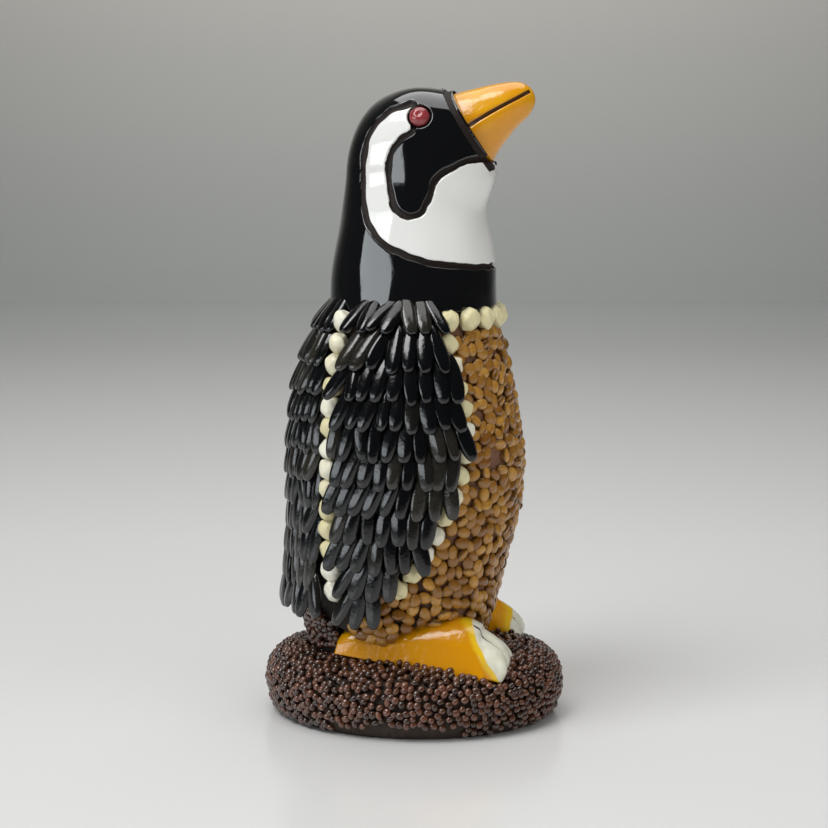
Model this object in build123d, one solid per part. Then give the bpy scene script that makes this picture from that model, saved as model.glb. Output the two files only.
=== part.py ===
"""Penguin figurine: a clay core with an enamelled head and feathering of glued seeds, on an oval mound."""

import math
import os

from build123d import *

# Frame: millimetres, origin under the middle of the mound, the bird faces -Y, its right side is -X.

# Fits
GLUE_GAP = 0.06
SPIGOT_CLEARANCE = 0.05

# Mound and its coat of grains
MOUND_HALF_LENGTH = 26.2
MOUND_HALF_WIDTH = 22.4
MOUND_HEIGHT = 12.4
MOUND_WIDEST_Z = 4.2
MOUND_UNDERCUT = 2.0
MOUND_SHOULDER_Z = 9.6
MOUND_SHOULDER_INSET = 1.6
MOUND_TOP_INSET = 8.0
COAT_THICKNESS = 1.1
COAT_FOOT_Z = 0.8
COAT_SKIRT_Z = 19.0
COAT_SKIRT_START = -3.0
COAT_SKIRT_CREST = -13.0
COAT_SKIRT_SLOPE = 0.4

# Body core: front reach, back reach and half width at each named height
HIP_FRONT, HIP_BACK, HIP_HALF_WIDTH = 11.5, 18.6, 14.2
THIGH_Z, THIGH_FRONT, THIGH_BACK, THIGH_HALF_WIDTH = 22.0, 14.4, 20.0, 16.6
BELLY_Z, BELLY_FRONT, BELLY_BACK, BELLY_HALF_WIDTH = 44.0, 18.9, 21.4, 17.8
CHEST_Z, CHEST_FRONT, CHEST_BACK, CHEST_HALF_WIDTH = 60.0, 16.9, 20.0, 16.6
SHOULDER_Z, SHOULDER_FRONT, SHOULDER_BACK, SHOULDER_HALF_WIDTH = 70.0, 14.4, 16.6, 14.8
NECK_SEAT_Z, NECK_SEAT_FRONT, NECK_SEAT_BACK, NECK_SEAT_HALF_WIDTH = 74.0, 13.0, 14.4, 13.2
BODY_SPIGOT_RADIUS = 6.0
BODY_SPIGOT_LENGTH = 7.0

# Head and neck
NECK_FRONT, NECK_BACK, NECK_HALF_WIDTH = 14.2, 15.0, 13.9
BAND_Z, BAND_FRONT, BAND_BACK, BAND_HALF_WIDTH = 81.5, 13.6, 14.7, 13.3
THROAT_Z, THROAT_FRONT, THROAT_BACK, THROAT_HALF_WIDTH = 91.0, 12.2, 12.9, 11.9
BROW_Z, BROW_FRONT, BROW_BACK, BROW_HALF_WIDTH = 98.0, 14.2, 12.1, 11.2
CROWN_Z = 112.6
CROWN_BACK_POWER = 2.0
CROWN_FRONT_POWER = 3.2
CROWN_SIDE_POWER = 2.7
NECK_SPIGOT_RADIUS = 6.5
NECK_SPIGOT_LENGTH = 9.0

# White enamel field of the face and bib
FIELD_DEPTH = 0.7
FIELD_FRONT = 16.0
FIELD_FOOT_Z = 83.4
FIELD_CHIN_RISE = 0.8
CHANNEL_WIDTH = 1.0

# Beak
BEAK_SEAT_Y, BEAK_SEAT_Z = -10.3, 105.7
BEAK_PITCH = 31.0
BEAK_LENGTH = 12.4
BEAK_HALF_HEIGHT = 6.4
BEAK_HALF_WIDTH = 5.0
BEAK_END_RATIO = 0.44
BEAK_BLUNTNESS = 8
BEAK_PEG_RADIUS = 2.6
BEAK_PEG_LENGTH = 4.0
BEAK_RING_WIDTH = 1.0
BEAK_RING_DEPTH = 0.9
MOUTH_WIDTH = 0.5
MOUTH_DEPTH = 0.7
MOUTH_REACH = 11.4

# Eyes
EYE_Y, EYE_Z = -2.4, 107.6
EYE_RADIUS = 1.75
EYE_RIM = 0.35
EYE_LENGTH = 2.6
EYE_PROUD = 0.5
EYE_ROUNDING = 0.9

# Feet and claws
FOOT_LENGTH = 27.8
FOOT_HEEL_X, FOOT_HEEL_Y = 10.6, 12.0
FOOT_SPLAY = 1.5
FOOT_DIP = 7.0
FOOT_SOLE_Z = 13.2
FOOT_HEEL_WIDTH, FOOT_HEEL_HEIGHT = 8.6, 5.0
FOOT_ARCH_AT, FOOT_ARCH_WIDTH, FOOT_ARCH_HEIGHT = 13.0, 11.0, 7.4
FOOT_BALL_AT, FOOT_BALL_WIDTH, FOOT_BALL_HEIGHT = 21.5, 12.2, 9.4
FOOT_TOE_WIDTH, FOOT_TOE_HEIGHT = 12.6, 8.6
FOOT_SIDE_ANGLE = 82.0
FOOT_ROUNDING = 1.9
CLAW_COUNT = 3
CLAW_SPAN = 11.2
CLAW_SPLIT = 0.35
CLAW_REACH = 3.2
CLAW_RAKE = 2.6
CLAW_ROUNDING = 1.3

# Side view of the bird: X runs forward, Y up
SIDE_VIEW = Plane(origin=(0, 0, 0), x_dir=(0, -1, 0), z_dir=(-1, 0, 0))
SIDE_REACH = 30.0

# Wings: rear and front limits along the bird at each named height
WING_TOP_Z, WING_TOP_REAR, WING_TOP_FRONT = 75.0, -8.6, 5.6
WING_ARM_Z, WING_ARM_REAR, WING_ARM_FRONT = 62.0, -10.2, 9.4
WING_WIDE_Z, WING_WIDE_REAR, WING_WIDE_FRONT = 49.0, -10.8, 11.0
WING_LOW_Z, WING_LOW_REAR, WING_LOW_FRONT = 33.0, -11.0, 4.6
WING_TIP_Z, WING_TIP_REAR, WING_TIP_FRONT = 20.0, -9.6, -5.2
WING_THICKNESS = 2.4
WING_SHOULDER_THICKNESS = 1.7
WING_END_THICKNESS = 0.85
WING_PADS = [WING_THICKNESS] * 4 + [WING_SHOULDER_THICKNESS, WING_END_THICKNESS]
WING_EAVE = 1.5
WING_SLAB_TOP_Z = 72.5

# Crest of a seed's curve as a share of the height of its two middle control points
BEZIER_CREST = 0.75

# Black feather seeds
FEATHER_LENGTH = 6.6
FEATHER_WIDTH = 1.95
FEATHER_TAPER = 2.2
FEATHER_PITCH = 2.1
FEATHER_ROW = 4.9
FEATHER_LIFT = 11.0
FEATHER_TOP_Z = 71.6
FEATHER_FAN_REAR = 20.0
FEATHER_FAN_FRONT = -9.0
BACK_LOW_Z = 19.4
TAIL_EXTRA_LIFT = 5.0

# Pale border grains
GRAIN_RADIUS = 1.7
GRAIN_SEAT = 0.75
GRAIN_PITCH = 3.5
COLLAR_Z = 71.6
BORDER_LOW_Z = 24.0

# Brown belly seeds
BELLY_SEED_LENGTH = 2.6
BELLY_SEED_WIDTH = 2.1
BELLY_PITCH = 2.72
BELLY_ROW = 2.36
BELLY_SMALL_SIZE = 0.72
BELLY_GAP_SEARCH = 0.25
BELLY_TOP_Z = 68.8
BELLY_LOW_Z = 15.0
SEED_TURN = 137.5


def curve_through(levels, z):
    """Value at height z on a smooth curve through (height, value) levels."""
    last = len(levels) - 1
    index = 0
    while index < last - 1 and z > levels[index + 1][0]:
        index += 1
    (z0, v0), (z1, v1) = levels[index], levels[index + 1]
    before = levels[max(index - 1, 0)]
    after = levels[min(index + 2, last)]
    span = z1 - z0
    slope0 = (v1 - before[1]) / (z1 - before[0]) * span
    slope1 = (after[1] - v0) / (after[0] - z0) * span
    t = (z - z0) / span
    keep = 2 * t**3 - 3 * t**2 + 1
    return keep * v0 + (1 - keep) * v1 + (t**3 - 2 * t**2 + t) * slope0 + (t**3 - t**2) * slope1


class Form:
    """An upright form with an oval section at each height, given by front, back and half width."""

    def __init__(self, levels, crown=None):
        self.levels = levels
        self.crown = crown

    def reaches(self, z):
        """Front reach, back reach and half width at height z."""
        top = self.levels[-1][0]
        if self.crown is None or z <= top:
            columns = range(1, 4)
            return [curve_through([(row[0], row[c]) for row in self.levels], z) for c in columns]
        crown_z, powers = self.crown
        rise = min((z - top) / (crown_z - top), 1.0)
        return [v * (1 - rise**n) ** (1 / n) for v, n in zip(self.levels[-1][1:], powers)]

    def oval(self, z, grow=0.0):
        """Middle of the section along Y, half length and half width."""
        front, back, half_width = self.reaches(z)
        return (back - front) / 2, (front + back) / 2 + grow, half_width + grow

    def point(self, z, angle, grow=0.0):
        """Point on the skin; angle 0 is the front, 90 the right side, 180 the back."""
        middle, half_length, half_width = self.oval(z, grow)
        turn = math.radians(angle)
        return Vector(-half_width * math.sin(turn), middle - half_length * math.cos(turn), z)

    def frame(self, z, angle, grow=0.0):
        """Point, outward normal, downhill direction and direction round towards the back."""
        step = 0.05
        across = self.point(z, angle + step, grow) - self.point(z, angle - step, grow)
        down = self.point(z - step, angle, grow) - self.point(z + step, angle, grow)
        normal = across.cross(down).normalized()
        return self.point(z, angle, grow), normal, down.normalized(), across.normalized()

    def angle_at(self, z, reach, grow=0.0):
        """Angle on the right side where the skin is this far forward of the middle plane."""
        middle, half_length, _ = self.oval(z, grow)
        return math.degrees(math.acos(max(-1.0, min(1.0, (reach + middle) / half_length))))

    def face(self, z, grow=0.0):
        """Section face, as a right and a left half oval joined on the middle plane."""
        middle, half_length, half_width = self.oval(z, grow)
        centre = (0, middle)
        one_half = EllipticalCenterArc(centre, half_width, half_length, start_angle=-90, arc_size=180)
        other_half = EllipticalCenterArc(centre, half_width, half_length, start_angle=90, arc_size=180)
        return Plane.XY.offset(z) * make_face(one_half + other_half)

    def solid(self, heights, grow=0.0):
        """Loft through the sections at these heights, closed to a point at the crown if there is one."""
        if self.crown is None:
            return loft([self.face(z, grow) for z in heights])
        top = self.levels[-1][0]
        stretch = grow / (self.crown[0] - top)
        lifts = [Location((0, 0, stretch * max(z - top, 0.0))) for z in heights]
        sections = [self.face(z, grow).moved(lift) for z, lift in zip(heights, lifts)]
        return loft(sections + [Vertex(0, 0, self.crown[0] + grow)])


def steps(low, high, count):
    """Evenly spaced heights from low to high."""
    return [low + (high - low) * i / count for i in range(count + 1)]


MOUND = Form(
    [
        (z, MOUND_HALF_LENGTH - inset, MOUND_HALF_LENGTH - inset, MOUND_HALF_WIDTH - inset)
        for z, inset in (
            (0.0, MOUND_UNDERCUT),
            (MOUND_WIDEST_Z, 0.0),
            (MOUND_SHOULDER_Z, MOUND_SHOULDER_INSET),
            (MOUND_HEIGHT, MOUND_TOP_INSET),
        )
    ]
)
BODY = Form(
    [
        (MOUND_HEIGHT, HIP_FRONT, HIP_BACK, HIP_HALF_WIDTH),
        (THIGH_Z, THIGH_FRONT, THIGH_BACK, THIGH_HALF_WIDTH),
        (BELLY_Z, BELLY_FRONT, BELLY_BACK, BELLY_HALF_WIDTH),
        (CHEST_Z, CHEST_FRONT, CHEST_BACK, CHEST_HALF_WIDTH),
        (SHOULDER_Z, SHOULDER_FRONT, SHOULDER_BACK, SHOULDER_HALF_WIDTH),
        (NECK_SEAT_Z, NECK_SEAT_FRONT, NECK_SEAT_BACK, NECK_SEAT_HALF_WIDTH),
    ]
)
HEAD = Form(
    [
        (NECK_SEAT_Z, NECK_FRONT, NECK_BACK, NECK_HALF_WIDTH),
        (BAND_Z, BAND_FRONT, BAND_BACK, BAND_HALF_WIDTH),
        (THROAT_Z, THROAT_FRONT, THROAT_BACK, THROAT_HALF_WIDTH),
        (BROW_Z, BROW_FRONT, BROW_BACK, BROW_HALF_WIDTH),
    ],
    (CROWN_Z, (CROWN_FRONT_POWER, CROWN_BACK_POWER, CROWN_SIDE_POWER)),
)
BODY_HEIGHTS = steps(MOUND_HEIGHT, NECK_SEAT_Z, 12)
HEAD_HEIGHTS = steps(NECK_SEAT_Z, BROW_Z, 6) + [
    BROW_Z + (CROWN_Z - BROW_Z) * math.sin(math.radians(turn)) for turn in (18, 34, 48, 60, 70, 78, 84)
]
WING_SKIN = Form(
    [
        (z, front + pad, back + pad, half_width + pad)
        for (z, front, back, half_width), pad in zip(BODY.levels, WING_PADS)
    ]
)
BEAK_PLANE = Plane(
    origin=(0, BEAK_SEAT_Y, BEAK_SEAT_Z),
    x_dir=(1, 0, 0),
    z_dir=(0, -math.cos(math.radians(BEAK_PITCH)), math.sin(math.radians(BEAK_PITCH))),
)
WING_REAR = [
    (WING_TIP_Z, WING_TIP_REAR),
    (WING_LOW_Z, WING_LOW_REAR),
    (WING_WIDE_Z, WING_WIDE_REAR),
    (WING_ARM_Z, WING_ARM_REAR),
    (WING_TOP_Z, WING_TOP_REAR),
]
WING_FRONT = [
    (WING_TIP_Z, WING_TIP_FRONT),
    (WING_LOW_Z, WING_LOW_FRONT),
    (WING_WIDE_Z, WING_WIDE_FRONT),
    (WING_ARM_Z, WING_ARM_FRONT),
    (WING_TOP_Z, WING_TOP_FRONT),
]


def mound_block(grow=0.0):
    """The mound as a smooth oval lump with a flat top."""
    heights = [0.0, MOUND_WIDEST_Z, MOUND_SHOULDER_Z, (MOUND_SHOULDER_Z + MOUND_HEIGHT) / 2, MOUND_HEIGHT]
    sections = [MOUND.face(z, grow).moved(Location((0, 0, grow * z / MOUND_HEIGHT))) for z in heights]
    return loft(sections)


def body_block(grow=0.0):
    """The barrel of the body between the mound and the neck."""
    return BODY.solid(BODY_HEIGHTS, grow)


def head_block(grow=0.0):
    """Neck and head as one form up to the crown."""
    return HEAD.solid(HEAD_HEIGHTS, grow)


def foot_section(at, width, height, grow):
    """Cross section of a foot: flat sole, raked sides and rounded top edges."""
    outline = Trapezoid(width + 2 * grow, height + 2 * grow, FOOT_SIDE_ANGLE)
    outline = fillet(outline.vertices().sort_by(Axis.Y)[2:], FOOT_ROUNDING)
    lift = Pos(0, height / 2)
    return Plane(origin=(0, -at, 0), x_dir=(1, 0, 0), z_dir=(0, -1, 0)) * (lift * outline)


def foot_pose(side):
    """Place of a foot on the mound, its heel end at the local origin; side is -1 right, 1 left."""
    return Location((side * FOOT_HEEL_X, FOOT_HEEL_Y, FOOT_SOLE_Z), (FOOT_DIP, 0, side * FOOT_SPLAY))


def foot_wedge(grow=0.0):
    """A foot in its own frame, toes towards -Y, before the claws are parted from it."""
    return loft(
        [
            foot_section(-grow, FOOT_HEEL_WIDTH, FOOT_HEEL_HEIGHT, grow),
            foot_section(FOOT_ARCH_AT, FOOT_ARCH_WIDTH, FOOT_ARCH_HEIGHT, grow),
            foot_section(FOOT_BALL_AT, FOOT_BALL_WIDTH, FOOT_BALL_HEIGHT, grow),
            foot_section(FOOT_LENGTH + grow, FOOT_TOE_WIDTH, FOOT_TOE_HEIGHT, grow),
        ]
    )


def foot_and_claws(grow):
    """Grown form of a foot that runs on past its end as far as the claws."""
    ends = [FOOT_LENGTH + grow, FOOT_LENGTH + CLAW_REACH + grow]
    return foot_wedge(grow) + loft([foot_section(at, FOOT_TOE_WIDTH, FOOT_TOE_HEIGHT, grow) for at in ends])


def claw_profile(back, front):
    """Side view of a claw: raked seat, level top and a nail curving down to the sole."""
    top = FOOT_TOE_HEIGHT
    seat = Line((-back, 0), (-back + CLAW_RAKE, top))
    crest = Line((-back + CLAW_RAKE, top), (-front + CLAW_REACH, top))
    nail = Bezier((-front + CLAW_REACH, top), (-front, top), (-front, top / 2), (-front + CLAW_REACH / 5, 0))
    sole = Line((-front + CLAW_REACH / 5, 0), (-back, 0))
    return Plane.YZ * make_face(seat + crest + nail + sole)


def claw_set(side):
    """The claws of one foot, seated on the raked end of its wedge."""
    pitch = CLAW_SPAN / CLAW_COUNT
    profile = claw_profile(FOOT_LENGTH + GLUE_GAP, FOOT_LENGTH + CLAW_REACH)
    lobe = extrude(profile, (pitch - CLAW_SPLIT) / 2, both=True)
    edges = lobe.edges().filter_by(Axis.X, reverse=True).sort_by(Axis.Y)[:4]
    lobe = fillet(edges, CLAW_ROUNDING)
    shifts = [pitch * (i - (CLAW_COUNT - 1) / 2) for i in range(CLAW_COUNT)]
    return [lobe.moved(foot_pose(side) * Pos(shift, 0, 0)) for shift in shifts]


def foot(side):
    """One foot: the wedge with its toe end cut back to the raked seat of the claws."""
    wedge = foot_wedge()
    rake = Plane(origin=(0, -FOOT_LENGTH, 0), x_dir=(1, 0, 0), z_dir=(0, -FOOT_TOE_HEIGHT, CLAW_RAKE))
    return split(wedge, rake, keep=Keep.BOTTOM).moved(foot_pose(side))


def foot_room(side):
    """Room for a foot and its claws with the glue gap all round."""
    return foot_and_claws(GLUE_GAP).moved(foot_pose(side))


def side_prism(outline):
    """Straight prism across the bird from an outline drawn in the side view."""
    return extrude(SIDE_VIEW * outline, SIDE_REACH, both=True)


def shifted(points, margin):
    """Outline points moved to the right of the way they run, and the two ends drawn out by as much."""
    last = len(points) - 1
    result = []
    for i, (x, y) in enumerate(points):
        before = points[max(i - 1, 0)]
        after = points[min(i + 1, last)]
        length = math.dist(before, after)
        run_x, run_y = (after[0] - before[0]) / length, (after[1] - before[1]) / length
        ahead = margin * ((i == last) - (i == 0))
        result.append((x + margin * run_y + ahead * run_x, y - margin * run_x + ahead * run_y))
    return result


def face_outline(margin=0.0):
    """Side view of the white field: a crescent behind the cheek that widens into the bib."""
    nape = [(-0.5, 108.8), (-3.6, 107.2), (-6.6, 102.6), (-6.9, 93.0), (-4.1, 87.4), (0.6, 84.8)]
    nape = nape + [(FIELD_FRONT, FIELD_FOOT_Z)]
    cheek = [(9.9, 99.2), (5.6, 96.6), (4.2, 92.6), (0.9, 90.4), (-2.6, 93.4), (-3.4, 99.0), (0.0, 105.2)]
    nape = shifted(nape, margin)
    cheek = shifted(cheek, margin)
    chin = (FIELD_FRONT, cheek[0][1] + FIELD_CHIN_RISE)
    front = Polyline(nape[-1], chin, cheek[0])
    return make_face(Spline(nape) + front + Spline(cheek) + Line(cheek[-1], nape[0]))


def eye_axis():
    """Plane on the head's skin at the right eye, its normal looking outwards."""
    point, normal, _, _ = HEAD.frame(EYE_Z, HEAD.angle_at(EYE_Z, -EYE_Y))
    return Plane(origin=point, z_dir=normal)


def eye_bead():
    """Right eye: a short round bead with a domed outer face."""
    bead = Pos(0, 0, EYE_PROUD - EYE_LENGTH) * extrude(Circle(EYE_RADIUS), EYE_LENGTH)
    return eye_axis() * fillet(bead.edges().sort_by(Axis.Z)[-1], EYE_ROUNDING)


def eye_socket():
    """Socket of the right eye, a rim wider than the bead."""
    depth = EYE_LENGTH - EYE_PROUD + GLUE_GAP
    return eye_axis() * Pos(0, 0, -depth) * extrude(Circle(EYE_RADIUS + EYE_RIM), depth + EYE_LENGTH)


def beak_cone(shrink=0.0):
    """The beak from its seat to the blunt tip, in the frame of the seat."""
    sections = []
    for share in (0.0, 0.3, 0.6, 0.8, 0.9, 0.96, 0.99):
        size = (1 - (1 - BEAK_END_RATIO) * share) * math.sqrt(1 - share**BEAK_BLUNTNESS)
        half_width = BEAK_HALF_WIDTH * size - shrink
        half_height = BEAK_HALF_HEIGHT * size - shrink
        if half_width > MOUTH_WIDTH / 2:
            sections.append(Pos(0, 0, BEAK_LENGTH * share) * Ellipse(half_height, half_width, rotation=90))
    if shrink == 0:
        sections.append(Vertex(0, 0, BEAK_LENGTH))
    return loft(sections)


def beak():
    """Beak with its carved mouth line, a foot in the ring channel and a peg."""
    root = Pos(0, 0, GLUE_GAP - BEAK_RING_DEPTH) * extrude(
        Ellipse(BEAK_HALF_HEIGHT, BEAK_HALF_WIDTH, rotation=90), BEAK_RING_DEPTH - GLUE_GAP
    )
    peg_end = -BEAK_RING_DEPTH - BEAK_PEG_LENGTH
    peg = Pos(0, 0, peg_end) * extrude(Circle(BEAK_PEG_RADIUS), BEAK_PEG_LENGTH + GLUE_GAP)
    slot = Pos(0, 0, MOUTH_REACH / 2) * Box(BEAK_LENGTH, MOUTH_WIDTH, MOUTH_REACH)
    return BEAK_PLANE * (beak_cone() - (slot - beak_cone(MOUTH_DEPTH)) + root + peg)


def head():
    """Head and neck with the beak seat, the carved pocket of the face, eye sockets and neck spigot."""
    block = head_block()
    block = split(block, BEAK_PLANE, keep=Keep.BOTTOM)
    ring = Ellipse(BEAK_HALF_HEIGHT + BEAK_RING_WIDTH, BEAK_HALF_WIDTH + BEAK_RING_WIDTH, rotation=90)
    block -= BEAK_PLANE * Pos(0, 0, -BEAK_RING_DEPTH) * extrude(ring, BEAK_LENGTH)
    bore_depth = BEAK_RING_DEPTH + BEAK_PEG_LENGTH + GLUE_GAP
    bore = extrude(Circle(BEAK_PEG_RADIUS + SPIGOT_CLEARANCE), bore_depth)
    block -= BEAK_PLANE * Pos(0, 0, -bore_depth) * bore
    pocket = side_prism(face_outline(CHANNEL_WIDTH))
    block -= pocket - head_block(-FIELD_DEPTH - GLUE_GAP)
    block -= eye_socket()
    block -= mirror(eye_socket(), about=Plane.YZ)
    spigot = extrude(Circle(NECK_SPIGOT_RADIUS), NECK_SPIGOT_LENGTH)
    return block + Pos(0, 0, NECK_SEAT_Z - NECK_SPIGOT_LENGTH) * spigot


def face_field():
    """White enamel of the face and bib, lying in the pocket with the channel open all round."""
    field = side_prism(face_outline()) & (head_block() - head_block(-FIELD_DEPTH))
    field = split(field, BEAK_PLANE.offset(-BEAK_RING_DEPTH), keep=Keep.BOTTOM)
    return field - eye_socket() - mirror(eye_socket(), about=Plane.YZ)


def body():
    """Body core with its spigot, the neck socket and the recesses over the feet."""
    spigot = extrude(Circle(BODY_SPIGOT_RADIUS), BODY_SPIGOT_LENGTH)
    spigot = Pos(0, 0, MOUND_HEIGHT - BODY_SPIGOT_LENGTH) * spigot
    depth = NECK_SPIGOT_LENGTH + SPIGOT_CLEARANCE
    socket = Pos(0, 0, NECK_SEAT_Z - depth) * extrude(Circle(NECK_SPIGOT_RADIUS + SPIGOT_CLEARANCE), depth)
    return body_block() + spigot - socket - foot_room(-1) - foot_room(1)


def mound():
    """Mound with the bore of the body and the pockets of the feet."""
    depth = BODY_SPIGOT_LENGTH + SPIGOT_CLEARANCE
    bore = Pos(0, 0, MOUND_HEIGHT - depth) * extrude(Circle(BODY_SPIGOT_RADIUS + SPIGOT_CLEARANCE), depth)
    return mound_block() - bore - foot_room(-1) - foot_room(1)


def grain_coat():
    """Coat of fine grains over the mound, climbing the back of the body as far as the tail."""
    crust = mound_block(COAT_THICKNESS) - mound_block(GLUE_GAP)
    crust -= Box(4 * MOUND_HALF_WIDTH, 4 * MOUND_HALF_LENGTH, 2 * COAT_FOOT_Z)
    rear = -2 * MOUND_HALF_LENGTH
    crest = [(COAT_SKIRT_START, MOUND_HEIGHT), (COAT_SKIRT_CREST, COAT_SKIRT_Z), (rear, COAT_SKIRT_Z)]
    rise = Spline(crest, tangents=((-1, COAT_SKIRT_SLOPE), (-1, 0)))
    rest = Polyline((rear, COAT_SKIRT_Z), (rear, MOUND_HEIGHT), (COAT_SKIRT_START, MOUND_HEIGHT))
    skirt = body_block(COAT_THICKNESS) & side_prism(make_face(rise + rest))
    return crust + skirt - body_block(GLUE_GAP) - foot_room(-1) - foot_room(1)


def wing_outline():
    """Side view of a wing slab, inside the edge of its feathers by the eave."""
    heights = [z for z, _ in WING_FRONT if z < WING_SLAB_TOP_Z] + [WING_SLAB_TOP_Z]
    rear = [(curve_through(WING_REAR, z) + WING_EAVE / 2, z) for z in heights]
    front = [(curve_through(WING_FRONT, z) - WING_EAVE, z) for z in heights]
    tip = ThreePointArc(rear[0], ((rear[0][0] + front[0][0]) / 2, WING_TIP_Z - WING_EAVE / 2), front[0])
    return make_face(Spline(rear) + Line(rear[-1], front[-1]) + Spline(front) + tip)


def wing():
    """Right wing slab, a leaf-shaped pad that follows the side of the body."""
    pad = WING_SKIN.solid(BODY_HEIGHTS) - body_block(GLUE_GAP)
    half_space = Box(2 * MOUND_HALF_WIDTH, 4 * MOUND_HALF_LENGTH, 4 * NECK_SEAT_Z)
    right_half = Pos(-MOUND_HALF_WIDTH, 0, 0) * half_space
    return pad & side_prism(wing_outline()) & right_half


def feather_seed():
    """Slender seed lying on its flat side along X, pointed at the upper end and round at the lower end."""
    half = FEATHER_LENGTH / 2
    bulge = FEATHER_WIDTH / 2 / BEZIER_CREST
    back = Bezier((-half, 0), (FEATHER_TAPER - half, bulge), (half, bulge), (half, 0))
    return revolve(make_face(back + Line((-half, 0), (half, 0))), Axis.X, 180)


def belly_seed(size=1.0):
    """Plump oval seed on its flat side, longer along X; the size is a share of the full seed."""
    half = size * BELLY_SEED_LENGTH / 2
    bulge = size * BELLY_SEED_WIDTH / 2 / BEZIER_CREST
    back = Bezier((-half, 0), (-half, bulge), (half, bulge), (half, 0))
    return revolve(make_face(back + Line((-half, 0), (half, 0))), Axis.X, 180)


def border_grain():
    """Round grain standing on a small flat."""
    ball = split(Sphere(GRAIN_RADIUS), Plane.XY.offset(-GRAIN_SEAT), keep=Keep.TOP)
    return Pos(0, 0, GRAIN_SEAT) * ball


def lay(form, z, angle, turn=0.0, lift=0.0, rise=GLUE_GAP):
    """Place on a form's skin: X runs downhill, turned towards the back and lifted off the skin."""
    point, normal, down, across = form.frame(z, angle)
    heading = down * math.cos(math.radians(turn)) + across * math.sin(math.radians(turn))
    axis = heading * math.cos(math.radians(lift)) + normal * math.sin(math.radians(lift))
    up = normal * math.cos(math.radians(lift)) - heading * math.sin(math.radians(lift))
    return Location(Plane(origin=point + normal * rise, x_dir=axis, z_dir=up))


def spaced(form, z, start, end, pitch, staggered):
    """Angles of seeds set at an even spacing along the skin at one height."""
    angles = steps(start, end, 48)
    points = [form.point(z, angle) for angle in angles]
    run = [0.0]
    for before, after in zip(points, points[1:]):
        run.append(run[-1] + (after - before).length)
    number = int(run[-1] / pitch)
    offset_share = 0.5 if staggered else 0.0
    result = []
    for i in range(number + (0 if staggered else 1)):
        target = run[-1] * (i + offset_share) / max(number, 1)
        k = min(sum(1 for length in run[1:-1] if length <= target), len(run) - 2)
        share = (target - run[k]) / (run[k + 1] - run[k])
        result.append(angles[k] + share * (angles[k + 1] - angles[k]))
    return result


def feather_rise(lift):
    """Height of a feather's middle that keeps its upper end on the skin."""
    return FEATHER_LENGTH / 2 * math.sin(math.radians(lift)) + GLUE_GAP


def wing_feathers():
    """Rows of seeds over the right wing, fanned from its front edge to its rear edge."""
    seed = feather_seed()
    placed = []
    rows = int((FEATHER_TOP_Z - WING_TIP_Z) / FEATHER_ROW)
    for row in range(rows + 1):
        z = FEATHER_TOP_Z - row * FEATHER_ROW
        inset = FEATHER_WIDTH / 2
        start = WING_SKIN.angle_at(z, curve_through(WING_FRONT, z) - inset)
        end = WING_SKIN.angle_at(z, curve_through(WING_REAR, z) + inset)
        for angle in spaced(WING_SKIN, z, start, end, FEATHER_PITCH, row % 2 == 1):
            share = (angle - start) / (end - start)
            turn = FEATHER_FAN_FRONT + share * (FEATHER_FAN_REAR - FEATHER_FAN_FRONT)
            place = lay(WING_SKIN, z, angle, turn, FEATHER_LIFT, feather_rise(FEATHER_LIFT))
            placed.append(seed.moved(place))
    return placed


def rear_limit(z):
    """Angle on the right side where the file of grains behind the wing ends and the back begins."""
    return walk(z, slab_edge(WING_REAR, WING_EAVE / 2, z), 2 * GRAIN_RADIUS + 4 * GLUE_GAP)


def back_feathers():
    """Rows of seeds over the back from one wing to the other, the lowest flared into a tail."""
    seed = feather_seed()
    placed = []
    rows = int((FEATHER_TOP_Z - BACK_LOW_Z) / FEATHER_ROW)
    for row in range(rows + 1):
        z = FEATHER_TOP_Z - row * FEATHER_ROW
        lift = FEATHER_LIFT + max(0, row - rows + 1) * TAIL_EXTRA_LIFT
        start = walk(z, rear_limit(max(z, WING_TIP_Z)), FEATHER_WIDTH / 2)
        for angle in spaced(BODY, z, start, 360 - start, FEATHER_PITCH, row % 2 == 1):
            placed.append(seed.moved(lay(BODY, z, angle, 0, lift, feather_rise(lift))))
    return placed


def slab_edge(edge, inset, z):
    """Angle on the right side of the body under an edge of the wing slab."""
    return BODY.angle_at(z, curve_through(edge, z) + inset)


def walk(z, angle, distance):
    """Angle reached by walking this far along the body's skin at one height."""
    per_degree = (BODY.point(z, angle + 0.5) - BODY.point(z, angle - 0.5)).length
    return angle + distance / per_degree


def border_places(edge, inset, sign, top_z, low_z):
    """Places of the grains filed along an edge of the right wing slab."""
    path = []
    for z in steps(low_z, top_z, 120):
        slope = curve_through(edge, z + 0.5) - curve_through(edge, z - 0.5)
        reach = (GRAIN_RADIUS + 2 * GLUE_GAP) * math.hypot(1, slope)
        angle = walk(z, slab_edge(edge, inset, z), sign * reach)
        path.append((z, angle, BODY.point(z, angle)))
    chosen = [path[-1]]
    for step in reversed(path):
        if (step[2] - chosen[-1][2]).length >= GRAIN_PITCH:
            chosen.append(step)
    return [(z, angle) for z, angle, _ in chosen]


def grains(places):
    """Border grains at these heights and angles on the body."""
    return [border_grain().moved(lay(BODY, z, angle)) for z, angle in places]


def left(solids):
    """The left-hand copies of right-hand solids."""
    return [mirror(solid, about=Plane.YZ) for solid in solids]


def collar_places(limit):
    """Places of the collar grains across the throat, between the wing borders."""
    return [(COLLAR_Z, angle) for angle in spaced(BODY, COLLAR_Z, -limit, limit, GRAIN_PITCH, False)]


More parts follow.
